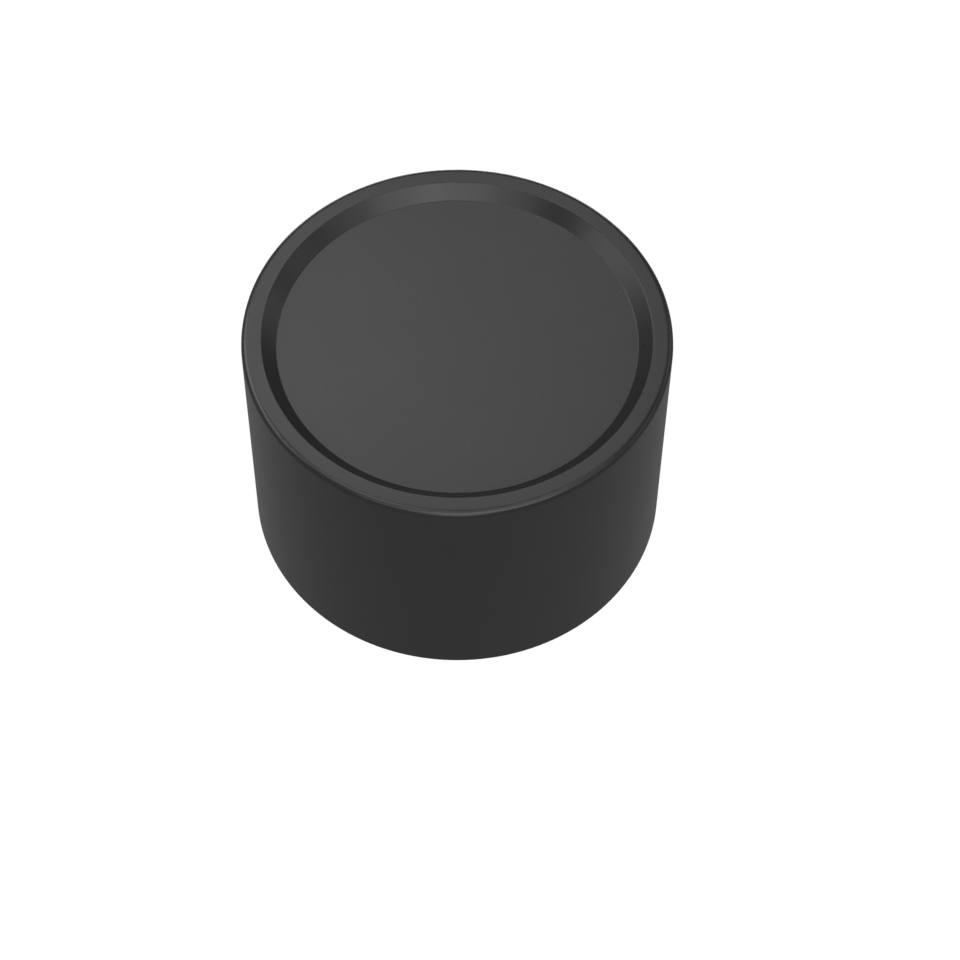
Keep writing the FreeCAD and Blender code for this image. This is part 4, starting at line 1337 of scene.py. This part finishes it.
@dataclass
class PowerButton:
    """The round key with its printed power symbol, and the spring behind it."""

    place_on: ButtonPlace
    face_y: float = 44.25
    dishing: float = 0.12
    travel: float = 0.3
    radius: float = 4.8
    flange_radius: float = 5.9
    flange_front: float = 40.95
    flange_back: float = 40.1
    pip_y: float = 36.05
    pip_radius: float = 1.5
    groove_low: float = 42.2
    groove_high: float = 43.2
    groove_radius: float = 4.1
    symbol_radius: float = 1.7
    symbol_stroke: float = 0.36
    symbol_rise: float = 0.05
    spring_low: float = 37.32
    spring_high: float = 40.08
    coil_radius: float = 4.0
    wire_radius: float = 0.2
    coils: int = 3

    def onto_wall(self, blank: Blank) -> Blank:
        """Lays a piece drawn along Z onto the button's radial line."""
        blank.turn(-90.0, "X").move(0.0, 0.0, self.place_on.centre_z)
        return blank.turn(self.place_on.angle)

    def key(self) -> Blank:
        """The key: pip, flange, seal groove and a slightly dished face."""
        return Blank.turned(
            "power_key",
            [
                (0.0, self.pip_y, 0.0),
                (self.pip_radius, self.pip_y, 0.3),
                (self.pip_radius, self.flange_back, 0.3),
                (self.flange_radius, self.flange_back, 0.1),
                (self.flange_radius, self.flange_front, 0.1),
                (self.radius, self.flange_front, 0.0),
                (self.radius, self.groove_low, 0.05),
                (self.groove_radius, self.groove_low, 0.0),
                (self.groove_radius, self.groove_high, 0.0),
                (self.radius, self.groove_high, 0.05),
                (self.radius, self.face_y, 0.35),
                (3.9, self.face_y, 1.2),
                (2.6, self.face_y - self.dishing, 1.2),
                (0.0, self.face_y - self.dishing, 0.0),
            ],
            sides=96,
        )

    def symbol(self) -> Blank:
        """The generic power sign: an open ring and a bar, printed on the dished face."""
        low = self.face_y - self.dishing - 0.02
        high = low + self.symbol_rise + 0.02
        half = self.symbol_stroke / 2
        inner, outer = self.symbol_radius - half, self.symbol_radius + half
        ring = Blank.turned(
            "power_sign",
            [(inner, low, 0.0), (outer, low, 0.0), (outer, high, 0.0), (inner, high, 0.0)],
            sides=72,
        )
        gap = Blank.box("gap", (-0.62, 0.0, low - 1), (0.62, 3.0, high + 1))
        ring.combine(Join.CUT, gap)
        stroke = Blank.box("stroke", (-half, 0.35, low), (half, 2.15, high))
        return ring.gather(stroke)

    def spring(self) -> Blank:
        """A coil of round wire with closed ends, between the retainer and the flange."""
        clear_selection()
        bpy.ops.mesh.primitive_circle_add(
            vertices=10,
            radius=self.wire_radius * MM,
            location=(self.coil_radius * MM, 0, (self.spring_low + self.wire_radius) * MM),
            rotation=(math.pi / 2, 0, 0),
        )
        coil = Blank("return_spring").settle()
        rise = self.spring_high - self.spring_low - 2 * self.wire_radius
        return coil.wind(rise / self.coils, self.coils, 36)

    def dress(self) -> None:
        """Places key and symbol on the button's body and the spring behind them."""
        key = self.onto_wall(self.key()).smooth(30.0)
        key.place(Body.BUTTON, BEZEL, "bezel_plastic", "power_button")
        sign = self.onto_wall(self.symbol().turn(180.0)).smooth(30.0)
        sign.place(Body.BUTTON, LEGEND, "bezel_plastic")
        spring = self.onto_wall(self.spring()).smooth(60.0)
        coil = spring.place(Body.RECEIVER, STAINLESS, "spring_steel", "button_spring")
        angle = math.radians(self.place_on.angle)
        outward = Vector((-math.sin(angle), math.cos(angle), 0.0))
        anchor = outward * self.spring_low * MM
        anchor.z = self.place_on.centre_z * MM
        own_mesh(coil)


@dataclass
class PoleInsert:
    """The brass insert with its cut thread."""

    low_z: float = 0.9
    flange_low: float = 6.2
    flange_high: float = 8.4
    top_z: float = 19.5
    bore_top: float = 17.4
    minor_radius: float = 6.75
    major_radius: float = 7.94
    radius: float = 11.0
    flange_radius: float = 16.5
    seal_low: float = 3.0
    seal_high: float = 4.6
    seal_radius: float = 9.95
    screw_circle: float = 13.8
    pitch: float = 25.4 / 11
    turns: int = 7

    def body(self) -> Blank:
        """The turned blank, bored, with its flange and seal groove."""
        lead_in = self.major_radius - self.minor_radius
        insert = Blank.turned(
            "pole_thread_insert",
            [
                (self.major_radius, self.low_z, 0.15),
                (self.radius, self.low_z, 0.3),
                (self.radius, self.seal_low, 0.0),
                (self.seal_radius, self.seal_low, 0.0),
                (self.seal_radius, self.seal_high, 0.0),
                (self.radius, self.seal_high, 0.0),
                (self.radius, self.flange_low, 0.0),
                (self.flange_radius, self.flange_low, 0.3),
                (self.flange_radius, self.flange_high, 0.3),
                (self.radius, self.flange_high, 0.4),
                (self.radius, self.top_z, 0.6),
                (0.0, self.top_z, 0.0),
                (0.0, self.bore_top + 1.0, 0.0),
                (self.minor_radius, self.bore_top, 0.0),
                (self.minor_radius, self.low_z + lead_in, 0.0),
            ],
            sides=128,
        )
        for x, y in circle_places(self.screw_circle, 4, 45):
            insert.combine(Join.CUT, Blank.bar("hole", 1.35, (x, y, 5), (x, y, 9.5), 24))
        return insert

    def thread(self) -> Blank:
        """The solid of the groove: a 60 degree V carried round the bore, one pitch a turn."""
        crest = self.pitch / 16
        inner = self.minor_radius - 0.3
        root = crest + (self.major_radius - inner) * math.tan(math.radians(30))
        start = self.low_z - 1.6
        corners = [
            (inner, start - root, 0.0),
            (self.major_radius, start - crest, 0.0),
            (self.major_radius, start + crest, 0.0),
            (inner, start + root, 0.0),
        ]
        return Blank.carried("thread_groove", corners, self.pitch, self.turns)

    def dress(self) -> None:
        """Cuts the thread and places the insert."""
        insert = self.body().combine(Join.CUT, self.thread()).smooth(28.0)
        insert.place(Body.RECEIVER, BRASS, "turned_brass", "pole_insert")


@dataclass
class Underside:
    """What shows underneath: plate, screws, feet and breather."""

    base_z: float = 1.2
    screw_circle: float = 37.3
    screw_head_radius: float = 2.8
    screw_head_height: float = 2.2
    screw_radius: float = 1.45
    screw_length: float = 10.3
    foot_circle: float = 35.5
    foot_radius: float = 4.45
    vent_y: float = -27.0
    vent_radius: float = 4.5
    vent_height: float = 2.0
    rim: float = 41.85
    seal_low: float = 2.7
    seal_high: float = 4.7
    seal_radius: float = 40.7
    top_z: float = 6.2
    bore: float = 11.15
    insert_circle: float = 13.8
    tray_screw_x: float = 22.0
    seat_z: float = 3.6

    def plate(self) -> Blank:
        """The base plate with its seal groove and raised ring, bored for what it holds."""
        plate = Blank.turned(
            "base_closure",
            [
                (self.bore, self.base_z, 0.2),
                (20.0, self.base_z, 0.0),
                (20.3, self.base_z - 0.3, 0.1),
                (21.5, self.base_z - 0.3, 0.1),
                (21.8, self.base_z, 0.0),
                (self.rim, self.base_z, 0.3),
                (self.rim, self.seal_low, 0.0),
                (self.seal_radius, self.seal_low, 0.0),
                (self.seal_radius, self.seal_high, 0.0),
                (self.rim, self.seal_high, 0.0),
                (self.rim, self.top_z, 0.3),
                (self.bore, self.top_z, 0.0),
            ],
            sides=240,
        )
        cuts = []
        for x, y in circle_places(self.screw_circle, 4, 0):
            cuts.append(Blank.bar("head_room", 3.1, (x, y, 0.5), (x, y, self.seat_z), 48))
            cuts.append(Blank.bar("shank_room", 1.7, (x, y, 0.5), (x, y, 7.0), 32))
        for x, y in circle_places(self.foot_circle, 4, 45):
            cuts.append(Blank.bar("foot_room", 4.5, (x, y, 0.5), (x, y, self.base_z + 1.0), 64))
        tray_screws = [(self.tray_screw_x, 0.0), (-self.tray_screw_x, 0.0)]
        for x, y in circle_places(self.insert_circle, 4, 45) + tray_screws:
            cuts.append(Blank.bar("tapped", 1.25, (x, y, 2.4), (x, y, 7.0), 24))
        vent = (0.0, self.vent_y)
        cuts.append(Blank.bar("vent_room", 4.6, (*vent, 0.5), (*vent, 3.5), 64))
        cuts.append(Blank.bar("vent_way", 1.5, (*vent, 0.5), (*vent, 7.0), 32))
        plate.combine(Join.CUT, *cuts)
        return plate.soften(0.1, 2)

    def screw(self) -> Blank:
        """One pan-head screw with a six-lobed socket, head down, its seat at zero."""
        head, height, shank = self.screw_head_radius, self.screw_head_height, self.screw_radius
        screw = Blank.turned(
            "base_fastener",
            [
                (0.0, -height, 0.0),
                (head - 0.5, -height, 0.5),
                (head, -height * 0.4, 0.5),
                (head, 0.0, 0.1),
                (shank, 0.0, 0.1),
                (shank, self.screw_length - 0.6, 0.0),
                (shank * 0.6, self.screw_length, 0.0),
                (0.0, self.screw_length, 0.0),
            ],
            sides=64,
        )
        socket = Blank.bar("socket", 0.95, (0, 0, -4), (0, 0, -0.8), 36)
        for x, y in circle_places(0.98, 6, 0):
            lobe = Blank.bar("lobe", 0.34, (x, y, -4), (x, y, -0.8), 16)
            socket.combine(Join.MERGE, lobe)
        return screw.combine(Join.CUT, socket).soften(0.05, 2, 50.0)

    def foot(self) -> Blank:
        """One rubber pad with a shallow ring groove in its sole."""
        return Blank.turned(
            "foot_pad",
            [
                (0.0, 0.0, 0.0),
                (2.1, 0.0, 0.1),
                (2.3, 0.25, 0.1),
                (2.7, 0.25, 0.1),
                (2.9, 0.0, 0.1),
                (self.foot_radius, 0.0, 0.4),
                (self.foot_radius, 2.2, 0.1),
                (0.0, 2.2, 0.0),
            ],
            sides=64,
        )

    def vent(self) -> Blank:
        """The breather cover: a small cap with four ways in round a raised middle."""
        low, high = self.base_z, self.base_z + self.vent_height
        cover = Blank.turned(
            "breather_cover",
            [
                (0.0, low + 0.1, 0.0),
                (1.0, low + 0.1, 0.1),
                (1.2, low + 0.35, 0.1),
                (2.7, low + 0.35, 0.1),
                (2.9, low, 0.1),
                (self.vent_radius, low, 0.25),
                (self.vent_radius, high, 0.1),
                (0.0, high, 0.0),
            ],
            sides=64,
        )
        for x, y in circle_places(1.9, 4, 45):
            cover.combine(Join.CUT, Blank.bar("way", 0.45, (x, y, low - 1), (x, y, high + 1), 20))
        return cover.move(0.0, self.vent_y, 0.0)

    def dress(self) -> None:
        """Places everything on the underside."""
        self.plate().smooth(35.0).place(Body.RECEIVER, BASE, "base_plastic", "base_plate")
        vent = self.vent().soften(0.05, 2).smooth(35.0)
        vent.place(Body.RECEIVER, BASE, "base_plastic", "vent_plug")
        screws = self.repeated(self.screw(), circle_places(self.screw_circle, 4, 0), self.seat_z)
        screws.smooth(35.0).place(Body.RECEIVER, STAINLESS, "stainless_steel", "base_screws")
        feet = self.repeated(self.foot(), circle_places(self.foot_circle, 4, 45), 0.0)
        feet.smooth(35.0).place(Body.RECEIVER, BLACK_RUBBER, "black_rubber", "rubber_feet")

    def repeated(self, blank: Blank, places: Iterable[tuple[float, float]], z: float) -> Blank:
        """The same solid at several places, gathered as one piece."""
        copies = [blank.copy(blank.piece.name).move(x, y, z) for x, y in places]
        name = blank.piece.name
        blank.scrap()
        first, *others = copies
        group = first.gather(*others)
        group.piece.name = name
        group.piece.data.name = name
        return group


@dataclass
class Inside:
    """The carried-over CAD pieces inside the housing."""

    nodes: dict[str, bpy.types.Object]

    def dress(self) -> None:
        """Gives every carried-over node its finish."""
        for finish, names in NODES_BY_FINISH.items():
            for name in names:
                for slot in self.nodes[name].material_slots:
                    slot.material = material(finish)
            log.info("%s: %s", finish.name, ", ".join(names))


# ---------------------------------------------------------------- studio


@dataclass(frozen=True)
class Softbox:
    """A soft light aimed at the receiver. Azimuth 0 is the front and 90 the right, in degrees."""

    name: str
    azimuth: float
    elevation: float
    distance: float
    wide: float
    tall: float
    glow: float

    def side(self, degrees: float) -> float:
        """The length in metres that covers an angle, seen from the receiver."""
        return 2 * self.distance * math.tan(math.radians(degrees / 2)) * MM

    def hang(self, aim: Vector) -> None:
        """Makes the light and points it at a place."""
        azimuth, elevation = math.radians(self.azimuth), math.radians(self.elevation)
        flat = math.cos(elevation)
        away = Vector((math.sin(azimuth) * flat, -math.cos(azimuth) * flat, math.sin(elevation)))
        lamp = bpy.data.lights.new(self.name, "AREA")
        lamp.shape = "RECTANGLE"
        lamp.size = self.side(self.wide)
        lamp.size_y = self.side(self.tall)
        lamp.energy = math.pi * lamp.size * lamp.size_y * self.glow
        holder = bpy.data.objects.new(self.name, lamp)
        bpy.context.scene.collection.objects.link(holder)
        holder.location = aim + away * self.distance * MM
        holder.rotation_euler = (-away).to_track_quat("-Z", "Y").to_euler()
        holder.visible_camera = False


@dataclass
class Studio:
    """White floor and surround, soft lights and the camera."""

    lights: tuple[Softbox, ...] = (
        Softbox("front_low", 0.0, 20.0, 700.0, 22.0, 22.0, 1.89),
        Softbox("front", 0.0, 43.0, 700.0, 26.0, 30.0, 1.8),
        Softbox("front_right", 30.0, 42.0, 700.0, 26.0, 30.0, 1.8),
        Softbox("front_high", 10.0, 68.0, 700.0, 40.0, 18.0, 0.4),
        Softbox("right_front", 60.0, 36.0, 700.0, 24.0, 24.0, 0.75),
        Softbox("front_left", 330.0, 36.0, 700.0, 24.0, 24.0, 1.12),
        Softbox("right_low", 90.0, 20.0, 700.0, 22.0, 22.0, 0.57),
        Softbox("right_rear_low", 120.0, 20.0, 700.0, 22.0, 22.0, 0.75),
        Softbox("left_near", 270.0, 36.0, 320.0, 26.0, 26.0, 1.58),
        Softbox("left_rear_near", 240.0, 36.0, 320.0, 26.0, 26.0, 2.48),
        Softbox("rear_near", 205.0, 50.0, 340.0, 26.0, 26.0, 0.63),
        Softbox("rear_right", 160.0, 54.0, 700.0, 26.0, 26.0, 0.58),
        Softbox("rear", 180.0, 56.0, 700.0, 14.6, 30.0, 0.77),
        Softbox("rear_left", 206.0, 56.0, 700.0, 14.6, 30.0, 1.04),
        Softbox("rear_low", 180.0, -1.0, 250.0, 60.0, 10.0, 2.6),
        Softbox("top_right", 72.0, 72.0, 700.0, 26.0, 26.0, 1.29),
        Softbox("top_left", 288.0, 72.0, 700.0, 26.0, 26.0, 1.78),
    )
    surround: float = 0.03
    white: float = 1.02
    floor_glow: float = 0.226
    lights_aim_z: float = 30.0
    aim_z: float = 3.5
    camera_distance: float = 615.1
    camera_elevation: float = 56.378
    lens: float = 103.85
    sideways_shift: float = 0.02375
    upward_shift: float = 0.0005
    floor_radius: float = 4000.0
    floor_gap: float = 0.02
    sensor: float = 36.0

    def floor(self) -> None:
        """A round white floor that glows evenly and lights the wall only a little."""
        clear_selection()
        under = (0, 0, -self.floor_gap * MM)
        bpy.ops.mesh.primitive_circle_add(
            vertices=96, radius=self.floor_radius * MM, fill_type="NGON", location=under
        )
        floor = Blank("floor").settle()
        finish = bpy.data.materials.new("white_floor")
        Shader(finish).by_ray("ShaderNodeEmission", self.floor_glow, self.white)
        floor.piece.data.materials.append(finish)

    def world(self) -> None:
        """White to the camera, a dim even surround to everything else."""
        world = bpy.data.worlds.new("studio")
        bpy.context.scene.world = world
        Shader(world).by_ray("ShaderNodeBackground", self.surround, self.white)

    def camera(self) -> None:
        """The camera, above the front and looking down at the base's middle."""
        lens = bpy.data.cameras.new("camera")
        lens.lens = self.lens
        lens.sensor_width = self.sensor
        lens.shift_x = self.sideways_shift
        lens.shift_y = self.upward_shift
        lens.clip_start = 0.01
        lens.clip_end = 20.0
        holder = bpy.data.objects.new("camera", lens)
        bpy.context.scene.collection.objects.link(holder)
        tilt = math.radians(self.camera_elevation)
        back = Vector((0.0, -math.cos(tilt), math.sin(tilt)))
        holder.location = (Vector((0.0, 0.0, self.aim_z)) + back * self.camera_distance) * MM
        holder.rotation_euler = (math.pi / 2 - tilt, 0.0, 0.0)
        bpy.context.scene.camera = holder

    def set_up(self) -> None:
        """Builds the whole studio."""
        scene = bpy.context.scene
        scene.view_settings.view_transform = "Standard"
        scene.view_settings.look = "None"
        self.floor()
        self.world()
        self.camera()
        for softbox in self.lights:
            softbox.hang(Vector((0.0, 0.0, self.lights_aim_z)) * MM)
        log.info("studio: %d lights", len(self.lights))


def main() -> None:
    """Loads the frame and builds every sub-assembly."""
    logging.basicConfig(level=logging.INFO, format="%(name)s %(message)s")
    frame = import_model()
    opening = ServiceOpening()
    door = DoorPlace()
    button = ButtonPlace()
    Studio().set_up()
    HousingCap(opening).dress()
    ServiceBezel(opening, door, button).dress()
    ChargingDoor(door).dress()
    PowerButton(button).dress()
    PoleInsert().dress()
    Underside().dress()
    Inside(frame["nodes"]).dress()


if __name__ == "__main__":
    main()
